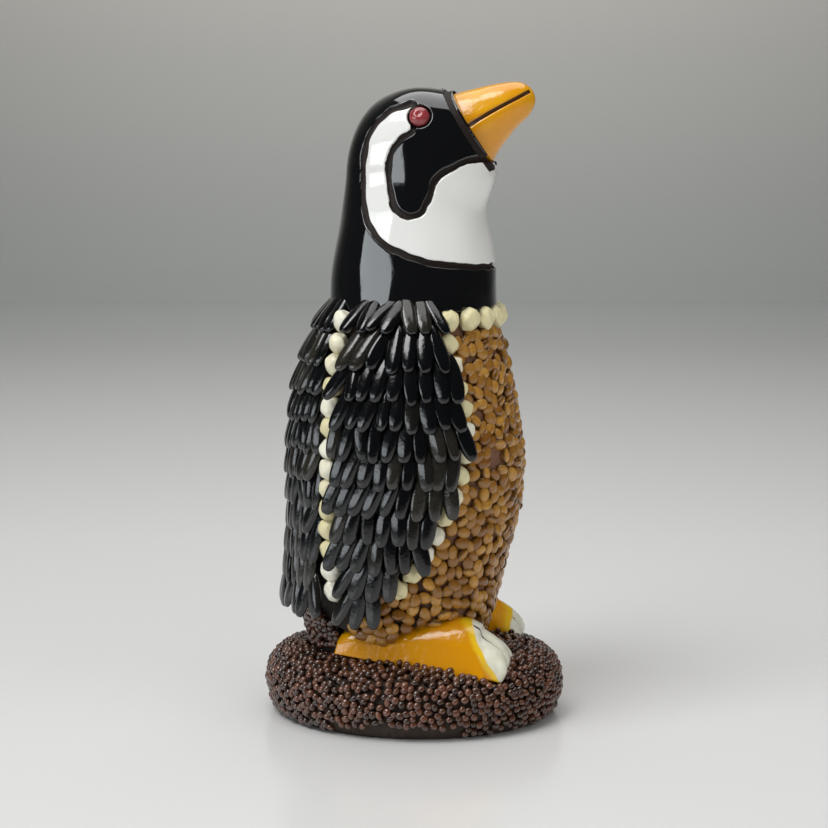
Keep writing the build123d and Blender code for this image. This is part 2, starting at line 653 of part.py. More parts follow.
def belly_lattice(row_step, pitch):
    """Heights and angles of an even staggered lattice over the whole body."""
    rows = int((BELLY_TOP_Z - BELLY_LOW_Z) / row_step)
    result = []
    for row in range(rows + 1):
        z = BELLY_LOW_Z + row * row_step
        result += [(z, angle) for angle in spaced(BODY, z, -180, 180, pitch, row % 2 == 1)]
    return result


def belly_seeds(taken):
    """Brown seeds over the rest of the body: an even packing, then smaller seeds in the gaps left by it."""
    grain_points = [tuple(BODY.point(z, angle)) for z, angle in taken]
    grain_points += [(-x, y, z) for x, y, z in grain_points]
    seed_points = []
    placed = []
    for size, search in ((1.0, 1.0), (BELLY_SMALL_SIZE, BELLY_GAP_SEARCH)):
        seed = belly_seed(size)
        clear = size * BELLY_SEED_LENGTH / 2 + 2 * GLUE_GAP
        feet = [foot_and_claws(clear).moved(foot_pose(side)) for side in (-1, 1)]
        first_round = tuple(seed_points)
        for z, angle in belly_lattice(search * BELLY_ROW, search * BELLY_PITCH):
            point = BODY.point(z, angle)
            spot = tuple(point)
            if in_wing_or_back(z, -point.Y, clear):
                continue
            if any(math.dist(spot, other) < BELLY_SEED_LENGTH / 2 + clear for other in first_round):
                continue
            if size < 1 and any(math.dist(spot, other) < 2 * clear for other in seed_points):
                continue
            if any(math.dist(spot, grain) < GRAIN_RADIUS + clear for grain in grain_points):
                continue
            if any(room.is_inside(point) for room in feet):
                continue
            seed_points.append(spot)
            placed.append(seed.moved(lay(BODY, z, angle, SEED_TURN * len(placed))))
    return placed


def in_wing_or_back(z, reach, clear):
    """True where the skin belongs to a wing, the back, the tail or the coat's climb."""
    rear = curve_through(WING_REAR, max(z, WING_TIP_Z))
    if reach < rear:
        return True
    if z < COAT_SKIRT_Z + clear and reach < COAT_SKIRT_START + clear:
        return True
    front = curve_through(WING_FRONT, max(z, WING_TIP_Z)) - WING_EAVE
    return z > WING_TIP_Z - clear and reach < front + clear


def write(node, shape):
    """Write one node as parts/NODE.step."""
    solids = shape if isinstance(shape, list) else shape.solids()
    flat = [solid for item in solids for solid in item.solids()]
    export_step(flat[0] if len(flat) == 1 else Compound(flat), os.path.join("parts", node + ".step"))


def main():
    """Build every node and write it."""
    os.makedirs("parts", exist_ok=True)
    front_file = border_places(WING_FRONT, -WING_EAVE, -1, COLLAR_Z - GRAIN_PITCH, BORDER_LOW_Z)
    rear_file = border_places(WING_REAR, WING_EAVE / 2, 1, COLLAR_Z, BORDER_LOW_Z)
    collar = collar_places(front_file[0][1])
    write("base_core", mound())
    write("base_grain_coat", grain_coat())
    write("body_core", body())
    write("head", head())
    write("face_enamel", face_field())
    write("beak", beak())
    write("right_eye", eye_bead())
    write("left_eye", left([eye_bead()]))
    write("right_foot", foot(-1))
    write("left_foot", foot(1))
    write("right_claws", claw_set(-1))
    write("left_claws", claw_set(1))
    write("right_wing", wing())
    write("left_wing", left([wing()]))
    feathers = wing_feathers()
    write("right_wing_feathers", feathers)
    write("left_wing_feathers", left(feathers))
    write("back_feathers", back_feathers())
    write("right_wing_front_grains", grains(front_file))
    write("left_wing_front_grains", left(grains(front_file)))
    write("right_wing_rear_grains", grains(rear_file))
    write("left_wing_rear_grains", left(grains(rear_file)))
    write("collar_grains", grains(collar))
    write("belly_seeds", belly_seeds(front_file + rear_file + collar))


main()
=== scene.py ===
"""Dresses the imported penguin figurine: enamel, seed feathering, grain borders and a grain-coated mound."""

import math

import bmesh
import bpy
import numpy as np
from bpy.props import FloatProperty, FloatVectorProperty, IntProperty, PointerProperty
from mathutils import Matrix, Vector


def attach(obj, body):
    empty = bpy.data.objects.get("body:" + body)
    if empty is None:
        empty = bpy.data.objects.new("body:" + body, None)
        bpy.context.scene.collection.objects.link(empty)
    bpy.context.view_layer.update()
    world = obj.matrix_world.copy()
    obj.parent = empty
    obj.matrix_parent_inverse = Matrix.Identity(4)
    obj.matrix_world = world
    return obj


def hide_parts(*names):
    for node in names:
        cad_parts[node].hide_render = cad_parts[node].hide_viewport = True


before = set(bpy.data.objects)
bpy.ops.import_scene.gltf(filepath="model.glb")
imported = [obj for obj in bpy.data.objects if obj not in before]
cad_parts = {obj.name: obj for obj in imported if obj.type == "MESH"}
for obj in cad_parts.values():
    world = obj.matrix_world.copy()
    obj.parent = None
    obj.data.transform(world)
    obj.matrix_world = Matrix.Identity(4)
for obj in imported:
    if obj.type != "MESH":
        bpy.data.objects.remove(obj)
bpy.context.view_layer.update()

bl_info = {
    "name": "Penguin figurine",
    "version": (1, 0, 0),
    "blender": (4, 2, 0),
    "location": "3D View > Sidebar > Penguin",
    "description": "Dresses a packed penguin figurine with enamel, seeds and grains",
    "category": "Object",
}

MM = 0.001
SEED = 11
FULL_TURN = 2 * math.pi
FAR = 1e9
TINY = 1e-6

# Side view of the white face field in millimetres: forward of the middle plane, height.
NAPE = (
    (0.9, 109.0), (-3.4, 107.3), (-6.6, 102.6), (-6.9, 93.0),
    (-4.1, 87.2), (0.6, 84.4), (7.0, 82.7), (17.0, 81.8),
)
CHEEK = (
    (10.9, 99.3), (6.2, 96.6), (4.7, 92.6), (3.3, 90.4), (0.9, 89.7),
    (-1.5, 90.9), (-2.9, 93.8), (-3.5, 98.6), (-2.3, 102.8), (0.9, 105.5),
)
CHIN = (17.0, 100.0)

BORDERS = (
    "right_wing_front_grains",
    "left_wing_front_grains",
    "right_wing_rear_grains",
    "left_wing_rear_grains",
)


def linear(code):
    """Linear colour of an sRGB hex code."""
    parts = [int(code[i : i + 2], 16) / 255 for i in (1, 3, 5)]
    return tuple(c / 12.92 if c <= 0.04045 else ((c + 0.055) / 1.055) ** 2.4 for c in parts)


def number(name, words, value):
    """A plain number setting."""
    return FloatProperty(name=name, description=words, default=value)


def length(name, words, millimetres):
    """A length setting, given in millimetres and kept in metres."""
    return FloatProperty(name=name, description=words, default=millimetres * MM, unit="LENGTH", precision=5)


def level(name, words, *millimetres):
    """A section of the head: height, front reach, back reach and half width."""
    values = [v * MM for v in millimetres]
    form = {"size": 4, "unit": "LENGTH", "precision": 5}
    return FloatVectorProperty(name=name, description=words, default=values, **form)


def colour(name, words, code):
    """A colour setting, given as an sRGB hex code."""
    return FloatVectorProperty(name=name, description=words, default=linear(code), size=3, subtype="COLOR")


def angle(name, words, degrees):
    """An angle setting, given in degrees."""
    return FloatProperty(name=name, description=words, default=math.radians(degrees), subtype="ANGLE")


class PENGUIN_PG_head(bpy.types.PropertyGroup):
    """Sizes of the head, beak and eyes."""

    neck: level("Neck", "Section at the foot of the neck", 74.0, 15.1, 15.0, 13.9)
    band: level("Band", "Section at the band under the bib", 81.5, 14.7, 14.7, 13.3)
    throat: level("Throat", "Section at the throat", 91.0, 13.3, 12.9, 11.9)
    brow: level("Brow", "Section where the crown starts", 98.0, 14.9, 12.1, 11.2)
    crown: length("Crown", "Height of the crown", 112.6)
    front_power: number("Front power", "Fullness of the crown to the front", 3.2)
    back_power: number("Back power", "Fullness of the crown to the back", 2.0)
    side_power: number("Side power", "Fullness of the crown to the sides", 2.7)
    channel: length("Channel", "Width of the carved channels", 1.15)
    channel_depth: length("Channel depth", "Depth of the carved channels", 0.65)
    seat_y: length("Beak seat Y", "Middle of the beak seat along the bird", -10.8)
    seat_z: length("Beak seat Z", "Height of the middle of the beak seat", 105.7)
    pitch: angle("Beak pitch", "Upward pitch of the beak", 31.0)
    beak_length: length("Beak length", "Length of the beak from its seat", 12.0)
    beak_half_height: length("Beak half height", "Half height of the beak at its seat", 6.8)
    beak_half_width: length("Beak half width", "Half width of the beak at its seat", 5.0)
    beak_end: number("Beak end", "Size of the blunt end against the seat", 0.44)
    beak_bow: number("Beak bow", "Hollow of the beak's underside", 0.17)
    mouth: length("Mouth", "Half width of the carved mouth line", 0.28)
    eye_y: length("Eye Y", "Place of the eyes along the bird", -2.4)
    eye_z: length("Eye Z", "Height of the eyes", 107.6)
    eye_radius: length("Eye radius", "Radius of an eye bead", 1.75)


class PENGUIN_PG_feet(bpy.types.PropertyGroup):
    """Place, sizes and painted edges of the feet."""

    heel_x: length("Heel X", "Sideways place of a heel", 10.6)
    heel_y: length("Heel Y", "Place of a heel along the bird", 12.0)
    splay: angle("Splay", "Outward turn of a foot", 1.5)
    sole_z: length("Sole Z", "Height of the sole at the heel", 13.2)
    dip: angle("Dip", "Downward slope of a foot to its toes", 7.0)
    half_width: length("Half width", "Half width of a foot at its toes", 6.3)
    arch: number("Arch", "Share of its height that a foot loses at its sides", 0.55)
    droop: number("Droop", "Share of its height that a foot loses at its tip", 0.42)
    droop_run: length("Droop run", "Length over which the toes come down to the tip", 8.6)
    heel_drop: number("Heel drop", "Share of its height that a foot loses at its heel", 0.5)
    heel_run: length("Heel run", "Length over which the heel comes down", 4.2)
    claw_pitch: length("Claw pitch", "Distance between the middles of two claws", 3.73)
    line: length("Claw line", "Half width of the dark line between two claws", 0.2)
    claw_tip: length("Claw tip", "Length of the cream paint at the sole", 0.9)
    rake: number("Rake", "Backward slope of the edge of the cream paint, right foot", 0.64)
    left_rake: number("Left rake", "The same slope on the left foot", 0.22)
    rim: length("Yellow rim", "Width of the yellow paint behind the cream", 1.9)


class PENGUIN_PG_seeds(bpy.types.PropertyGroup):
    """Sizes and counts of the seeds and grains."""

    feather_thickness: length("Feather thickness", "Thickness of a black seed", 1.6)
    feather_width: length("Feather width", "Width of a black seed", 2.85)
    feather_cover: length("Feather cover", "Length by which a black seed runs on under the row above", 2.2)
    feather_spread: number("Feather spread", "Share by which a wing's rows are spread", 0.1)
    tail_flare: length("Tail flare", "Outward shift of the lowest back seeds", 2.4)
    tail_top: length("Tail top", "Height at which the tail starts to stand off the body", 40.0)
    tail_foot: length("Tail foot", "Height of the middle of the lowest back seeds", 18.0)
    belly_length: length("Belly seed length", "Length of a brown seed", 2.85)
    belly_width: length("Belly seed width", "Width of a brown seed", 2.3)
    belly_thickness: length("Belly thickness", "Thickness of a brown seed", 1.5)
    belly_spacing: length("Belly spacing", "Least distance of brown seeds", 1.56)
    belly_tries: IntProperty(name="Belly tries", description="Points thrown on the body", default=40000)
    bare_spot: length("Bare spot", "Radius of the patch that has lost its seeds", 2.3)
    base_radius: length("Base grain", "Radius of a grain on the mound", 0.68)
    base_spacing: length("Base spacing", "Least distance of grains on the mound", 1.04)
    base_tries: IntProperty(name="Base tries", description="Points thrown on the mound's coat", default=24000)


class PENGUIN_PG_paint(bpy.types.PropertyGroup):
    """Colours of the enamels, seeds, grains and clay."""

    black: colour("Black enamel", "Enamel of the head and neck", "#0b0c0e")
    white: colour("White enamel", "Enamel of the face and bib", "#f0f0ec")
    clay: colour("Clay", "Bare clay in the carved channels", "#0f0b09")
    core: colour("Core", "Primed clay between the seeds", "#6d4a36")
    pale_core: colour("Pale core", "Palest primed clay between the seeds", "#8f6a54")
    # Painted shade: the primed clay darkened where the feathers overhang it.
    shade_under_feathers: colour("Under feathers", "Primed clay under the feathers", "#1a1310")
    dark_clay: colour("Dark clay", "Primed clay of the mound and wings", "#1f1713")
    dusty_clay: colour("Dusty clay", "Palest primed clay of the mound and wings", "#46382e")
    orange: colour("Orange enamel", "Enamel of the beak and feet", "#df9603")
    yellow: colour("Yellow enamel", "Thin edges of the orange enamel", "#eec21c")
    cream: colour("Cream enamel", "Enamel of the claws", "#ecebd8")
    worn_cream: colour("Worn cream", "Cream enamel gone grey", "#d6d2ba")
    claw_line: colour("Claw line", "Thin lines between the claws", "#3b2630")
    mouth_line: colour("Mouth line", "Bottom of the carved mouth line", "#4a2e10")
    eye: colour("Eye glass", "Glass of the eye beads", "#7a2226")
    eye_cloud: colour("Eye cloud", "Cloudy streaks in the glass", "#a8484c")
    black_seed: colour("Black seed", "Coat of the feather seeds", "#08090b")
    grey_seed: colour("Grey seed", "Coat of paler feather seeds", "#3b382f")
    pale: colour("Pale grain", "Skin of the border grains", "#e6dcae")
    chalk: colour("Chalk", "Broken border grains", "#f5f3e6")
    brown_dark: colour("Dark brown seed", "Darkest belly seeds", "#7c4d14")
    brown_light: colour("Light brown seed", "Lightest belly seeds", "#c9943f")
    base_dark: colour("Dark base grain", "Darkest grains of the mound", "#2e1d14")
    base_red: colour("Red base grain", "Reddest grains of the mound", "#7a4a33")
    # Floor, dim wall and wall are one board: painted shade dims it towards the foot of the backdrop, painted
    # light pales it above.
    floor: colour("Floor", "Pale floor", "#dfdfde")
    dim: colour("Dim wall", "Foot of the backdrop", "#b4b8b7")
    wall: colour("Wall", "Upper end of the backdrop", "#ece9e2")


class PENGUIN_PG_stage(bpy.types.PropertyGroup):
    """Camera and light."""

    azimuth: angle("Azimuth", "Camera direction round the bird, 0 in front", -81.0)
    distance: length("Distance", "Camera distance from the middle line", 350.0)
    height: length("Height", "Camera height over the floor", 104.0)
    tilt: angle("Tilt", "Downward tilt of the camera", 8.07)
    lens: number("Lens", "Focal length in millimetres", 85.04)
    sensor: number("Sensor", "Width of the camera's sensor in millimetres", 36.0)
    key: number("Key", "Power of the main softbox in watts", 4.4)
    fill: number("Fill", "Power of the fill softbox in watts", 2.6)
    top: number("Top", "Power of the overhead softbox in watts", 4.0)
    window: number("Window", "Power of the low window in watts", 1.5)
    backdrop: number("Backdrop", "Power of the light on the backdrop in watts", 1.7)
    sky: number("Sky", "Strength of the even surrounding light", 0.03)


def settings(context, *names):
    """The named groups of settings of this scene."""
    return [getattr(context.scene, "penguin_" + name) for name in names]


def connect(tree, node, sockets):
    """Sets or links input sockets of a shader node by name or index."""
    for key, value in sockets.items():
        if isinstance(value, bpy.types.NodeSocket):
            tree.links.new(value, node.inputs[key])
        else:
            node.inputs[key].default_value = value


def add(tree, kind, fields=None, sockets=None):
    """Adds a shader node, sets its fields, and sets or links its input sockets."""
    node = tree.nodes.new(kind)
    for key, value in (fields or {}).items():
        setattr(node, key, value)
    connect(tree, node, sockets or {})
    return node


def rgba(values):
    """Four-channel form of a colour setting."""
    return (values[0], values[1], values[2], 1.0)


def mix(tree, factor, first, second):
    """Colour mixed from two colours or sockets by a factor or its socket."""
    sockets = {0: factor, 6: first, 7: second}
    return add(tree, "ShaderNodeMix", {"data_type": "RGBA"}, sockets).outputs[2]


def calc(tree, operation, *values):
    """Result of a maths node on numbers or sockets."""
    return add(tree, "ShaderNodeMath", {"operation": operation}, dict(enumerate(values))).outputs[0]


def own_place(tree):
    """Place of the shaded point in the part's own coordinates."""
    return add(tree, "ShaderNodeTexCoord").outputs["Object"]


def noise(tree, per_metre, detail=2.0):
    """Noise in the part's own coordinates; the scale is in features per metre."""
    sockets = {"Vector": own_place(tree), "Scale": per_metre, "Detail": detail}
    return add(tree, "ShaderNodeTexNoise", None, sockets).outputs["Fac"]


def ramp(tree, value, low, high):
    """Value mapped from low..high to 0..1 and clamped."""
    return add(tree, "ShaderNodeMapRange", {"clamp": True}, {0: value, 1: low, 2: high}).outputs[0]


def bump(tree, height, relief, **more):
    """Normal from a height socket; the relief is in metres."""
    sockets = {"Height": height, "Distance": relief, "Strength": 1.0, **more}
    return add(tree, "ShaderNodeBump", None, sockets).outputs[0]


def attribute(tree, name):
    """Value stored on the mesh under a name."""
    return add(tree, "ShaderNodeAttribute", {"attribute_name": name}).outputs["Fac"]


def material(name):
    """A new material with its Principled shader, and the shader's tree."""
    made = bpy.data.materials.new(name)
    made.use_nodes = True
    tree = made.node_tree
    tree.nodes.clear()
    shader = add(tree, "ShaderNodeBsdfPrincipled")
    add(tree, "ShaderNodeOutputMaterial", None, {"Surface": shader.outputs[0]})
    return made, tree, shader


def head_enamel(head, paint):
    """Brushed gloss enamel over carved clay: deep black and clean white with dull brown channels between."""
    made, tree, shader = material("Brushed gloss enamel on carved clay")
    start, blur, wobble, channel_darkening = 0.15, 0.06, 0.3, 0.88
    smooth, dull = 0.07, 0.6
    end = head.channel / MM + start
    edge = calc(tree, "MULTIPLY_ADD", noise(tree, 900.0), wobble, attribute(tree, "edge"))
    outside = ramp(tree, edge, start, start + blur)
    black = ramp(tree, edge, end - blur, end)
    channel = calc(tree, "SUBTRACT", outside, black)
    clay = mix(tree, noise(tree, 2600.0), rgba(paint.clay), rgba(paint.core))
    # The clay in the channels is pulled most of the way to its darkest tone.
    clay = mix(tree, channel_darkening, clay, rgba(paint.clay))
    field = mix(tree, outside, rgba(paint.white), clay)
    waves = bump(tree, noise(tree, 260.0), 0.00007)
    sockets = {
        "Base Color": mix(tree, black, field, rgba(paint.black)),
        "Roughness": calc(tree, "MULTIPLY_ADD", channel, dull, smooth),
        "IOR": 1.5,
        "Coat Weight": calc(tree, "SUBTRACT", 1.0, channel),
        "Coat Roughness": 0.04,
        "Normal": bump(tree, noise(tree, 3000.0), 0.0002, Strength=channel, Normal=waves),
    }
    connect(tree, shader, sockets)
    return made


def orange_tone(tree, paint):
    """Orange enamel that is a little yellower where it runs thin."""
    thin = ramp(tree, noise(tree, 160.0), 0.5, 1.4)
    return mix(tree, thin, rgba(paint.orange), rgba(paint.yellow))


def gloss_paint(tree, shader, base):
    """Finish of thick gloss enamel laid on with a brush."""
    connect(tree, shader, {"Base Color": base, "Roughness": 0.22, "IOR": 1.48})
    connect(tree, shader, {"Coat Weight": 0.6, "Coat Roughness": 0.06})
    connect(tree, shader, {"Normal": bump(tree, noise(tree, 420.0, 3.0), 0.0002)})


def beak_enamel(paint):
    """Thick gloss orange enamel with dark brown in the carved mouth line."""
    made, tree, shader = material("Brushed gloss orange enamel")
    groove = ramp(tree, attribute(tree, "groove"), 0.25, 0.6)
    gloss_paint(tree, shader, mix(tree, groove, orange_tone(tree, paint), rgba(paint.mouth_line)))
    return made


def foot_enamel(paint):
    """Thick gloss orange enamel that runs through yellow into cream claws with thin plum lines between."""
    made, tree, shader = material("Brushed gloss orange and cream enamel")
    base = mix(tree, attribute(tree, "rim"), orange_tone(tree, paint), rgba(paint.yellow))
    worn = ramp(tree, noise(tree, 500.0), 0.4, 0.8)
    cream = mix(tree, worn, rgba(paint.cream), rgba(paint.worn_cream))
    base = mix(tree, attribute(tree, "claw"), base, cream)
    groove = ramp(tree, attribute(tree, "groove"), 0.3, 0.7)
    gloss_paint(tree, shader, mix(tree, groove, base, rgba(paint.claw_line)))
    return made


def eye_glass(paint):
    """Pressed red glass, clear enough to glow at its edge."""
    made, tree, shader = material("Pressed red glass")
    base = mix(tree, noise(tree, 900.0), rgba(paint.eye), rgba(paint.eye_cloud))
    depth = (2.0 * MM, 0.6 * MM, 0.6 * MM)
    connect(tree, shader, {"Base Color": base, "Roughness": 0.12, "IOR": 1.52})
    connect(tree, shader, {"Coat Weight": 0.6, "Coat Roughness": 0.03})
    connect(tree, shader, {"Subsurface Weight": 0.25, "Subsurface Radius": depth, "Subsurface Scale": 0.5})
    return made


def primed_clay(name, first, second, shade=None):
    """Dull primed clay, uneven in tone; a painted shade darkens the side under the feathers."""
    made, tree, shader = material(name)
    base = mix(tree, noise(tree, 700.0, 3.0), rgba(first), rgba(second))
    if shade is not None:
        # Painted shade: the clay darkens towards the back, under the feathers.
        backward = add(tree, "ShaderNodeSeparateXYZ", None, {0: own_place(tree)}).outputs["Y"]
        base = mix(tree, ramp(tree, backward, -7.0 * MM, -2.0 * MM), base, rgba(shade))
    connect(tree, shader, {"Base Color": base, "Roughness": 0.7, "IOR": 1.45})
    connect(tree, shader, {"Normal": bump(tree, noise(tree, 1500.0, 3.0), 0.0003)})
    return made


def seed_coat(name, low, high, roughness, spread, coat, relief=0.00012, rim=(0.55, 1.25)):
    """Natural seed coat: each seed has its own tone between two colours, fine streaks and a rim darkened as
    painted shade.
    """
    made, tree, shader = material(name)
    streak_depth, rim_shade = 0.45, 0.35
    streaks = noise(tree, 1400.0, 3.0)
    tone = ramp(tree, attribute(tree, "tone"), *spread)
    base = mix(tree, tone, rgba(low), rgba(high))
    streaked = mix(tree, streak_depth, base, rgba(low))
    base = mix(tree, ramp(tree, streaks, 0.35, 0.75), base, streaked)
    # Painted shade: each seed darkens towards its rim, into the crevices between seeds.
    deep = tuple(rim_shade * c for c in low)
    base = mix(tree, ramp(tree, attribute(tree, "rim"), *rim), base, rgba(deep))
    connect(tree, shader, {"Base Color": base, "Roughness": roughness, "IOR": 1.48})
    connect(tree, shader, {"Coat Weight": coat, "Coat Roughness": 0.12})
    connect(tree, shader, {"Normal": bump(tree, streaks, relief)})
    return made


def piece(name, points, faces, made, nodes, values=None):
    """A smooth mesh piece that rides on the part and stands for the named nodes; values are per point."""
    mesh = bpy.data.meshes.new(name)
    mesh.from_pydata(np.asarray(points).tolist(), [], [list(face) for face in faces])
    for key, column in (values or {}).items():
        stored = mesh.attributes.new(key, "FLOAT", "POINT")
        stored.data.foreach_set("value", np.asarray(column, dtype=np.float32))
    mesh.polygons.foreach_set("use_smooth", [True] * len(mesh.polygons))
    mesh.materials.append(made)
    mesh.update()
    obj = bpy.data.objects.new(name, mesh)
    bpy.context.scene.collection.objects.link(obj)
    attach(obj, "root")
    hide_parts(*nodes)


def grid_faces(rows, columns):
    """Quads of a grid closed round its columns, rows running outwards along the normal's right hand."""
    i, j = np.meshgrid(np.arange(rows - 1), np.arange(columns), indexing="ij")
    here, there = i * columns, (i + 1) * columns
    k = (j + 1) % columns
    return np.stack([here + j, here + k, there + k, there + j], axis=-1).reshape(-1, 4)


def capped(points, rows, columns):
    """Faces of a closed grid with a fan at both ends, and its points with the two poles added."""
    grid = points.reshape(rows, columns, 3)
    points = np.vstack([points, grid[0].mean(axis=0), grid[-1].mean(axis=0)])
    low, high = rows * columns, rows * columns + 1
    last = (rows - 1) * columns
    faces = grid_faces(rows, columns).tolist()
    for j in range(columns):
        k = (j + 1) % columns
        faces.append([k, j, low])
        faces.append([last + j, last + k, high])
    return points, faces


def round_grid(rows, columns):
    """Row values and evenly spaced angles of a closed grid, each as one long array."""
    turn = np.linspace(0, FULL_TURN, columns, endpoint=False)
    grid, angles = np.meshgrid(rows, turn, indexing="ij")
    return grid.ravel(), angles.ravel()


def smooth_curve(levels, column, z):
    """Value of one column of the levels on a smooth curve at heights z."""
    heights = np.array([row[0] for row in levels])
    values = np.array([row[column] for row in levels])
    i = np.clip(np.searchsorted(heights, z) - 1, 0, len(heights) - 2)
    before = np.maximum(i - 1, 0)
    after = np.minimum(i + 2, len(heights) - 1)
    span = heights[i + 1] - heights[i]
    slope0 = (values[i + 1] - values[before]) / (heights[i + 1] - heights[before]) * span
    slope1 = (values[after] - values[i]) / (heights[after] - heights[i]) * span
    slope1 = np.where(i + 2 == len(heights), 0.0, slope1)
    t = (z - heights[i]) / span
    keep = 2 * t**3 - 3 * t**2 + 1
    bend = (t**3 - 2 * t**2 + t) * slope0 + (t**3 - t**2) * slope1
    return keep * values[i] + (1 - keep) * values[i + 1] + bend


def head_reaches(head, z):
    """Front reach, back reach and half width of the head at heights z, in millimetres."""
    levels = [[v / MM for v in row] for row in (head.neck, head.band, head.throat, head.brow)]
    top, crown = levels[-1][0], head.crown / MM
    rise = np.clip((z - top) / (crown - top), 0.0, 1.0)
    result = []
    for column, power in enumerate((head.front_power, head.back_power, head.side_power), start=1):
        body = smooth_curve(levels, column, np.minimum(z, top))
        result.append(np.where(z > top, levels[-1][column] * (1 - rise**power) ** (1 / power), body))
    return result


def head_points(head, z, turn):
    """Skin of the head at heights and angles, angle 0 in front and 90 degrees on the right side."""
    front, back, half_width = head_reaches(head, z)
    middle, half_length = (back - front) / 2, (front + back) / 2
    return np.stack([-half_width * np.sin(turn), middle - half_length * np.cos(turn), z], axis=-1)


def spline_points(points, per_span=14):
    """Points along a smooth curve through these points."""
    knots = np.array(points)
    padded = np.vstack([2 * knots[0] - knots[1], knots, 2 * knots[-1] - knots[-2]])
    t = np.linspace(0, 1, per_span, endpoint=False)[:, None]
    spans = []
    for p0, p1, p2, p3 in zip(padded, padded[1:], padded[2:], padded[3:]):
        square = 2 * p0 - 5 * p1 + 4 * p2 - p3
        cube = 3 * p1 - p0 - 3 * p2 + p3
        spans.append(0.5 * (2 * p1 + (p2 - p0) * t + square * t**2 + cube * t**3))
    return np.vstack(spans + [knots[-1:]])


def outline_distance(outline, points):
    """Signed distance of points to a closed outline, negative inside."""
    best = np.full(len(points), FAR)
    inside = np.zeros(len(points), dtype=bool)
    for a, b in zip(outline, np.roll(outline, -1, axis=0)):
        run = b - a
        share = np.clip(((points - a) @ run) / max(run @ run, TINY**2), 0, 1)
        best = np.minimum(best, np.linalg.norm(points - a - share[:, None] * run, axis=1))
        crosses = (a[1] > points[:, 1]) != (b[1] > points[:, 1])
        with np.errstate(divide="ignore", invalid="ignore"):
            x = a[0] + (points[:, 1] - a[1]) * run[0] / run[1]
        inside ^= crosses & (points[:, 0] < x)
    return np.where(inside, -best, best)


def step(value, low, high):
    """Smooth step from 0 at low to 1 at high."""
    t = np.clip((value - low) / (high - low), 0, 1)
    return t * t * (3 - 2 * t)


def ripple(points, size, seed):
    """Slow seeded undulation of about unit height over points in millimetres."""
    waves, phases, evened = 6, 6.28, 2.5
    rng = np.random.default_rng(seed)
    total = np.zeros(len(points))
    for _ in range(waves):
        way = rng.normal(size=3)
        way = way / np.linalg.norm(way)
        total += np.sin(points @ way * (FULL_TURN / size) + rng.uniform(0, phases))
    return total / evened


def beak_frame(head):
    """Middle of the beak seat, and its side, up and outward directions, in millimetres."""
    middle = np.array([0.0, head.seat_y / MM, head.seat_z / MM])
    out = np.array([0.0, -math.cos(head.pitch), math.sin(head.pitch)])
    side = np.array([1.0, 0.0, 0.0])
    return middle, side, np.cross(out, side), out


def eye_frame(head, mirror):
    """Point on the head's skin under an eye, and the outward normal there, in millimetres."""
    small = 0.01
    z = np.array([head.eye_z / MM])
    front, back, _ = head_reaches(head, z)
    turn = np.arccos((-head.eye_y / MM + (back - front) / 2) / ((front + back) / 2))
    point = head_points(head, z, turn)[0]
    across = head_points(head, z, turn + small)[0] - point
    up = head_points(head, z + small, turn)[0] - point
    normal = np.cross(up, across)
    normal /= np.linalg.norm(normal)
    flip = np.array([-1.0 if mirror else 1.0, 1.0, 1.0])
    return point * flip, normal * flip


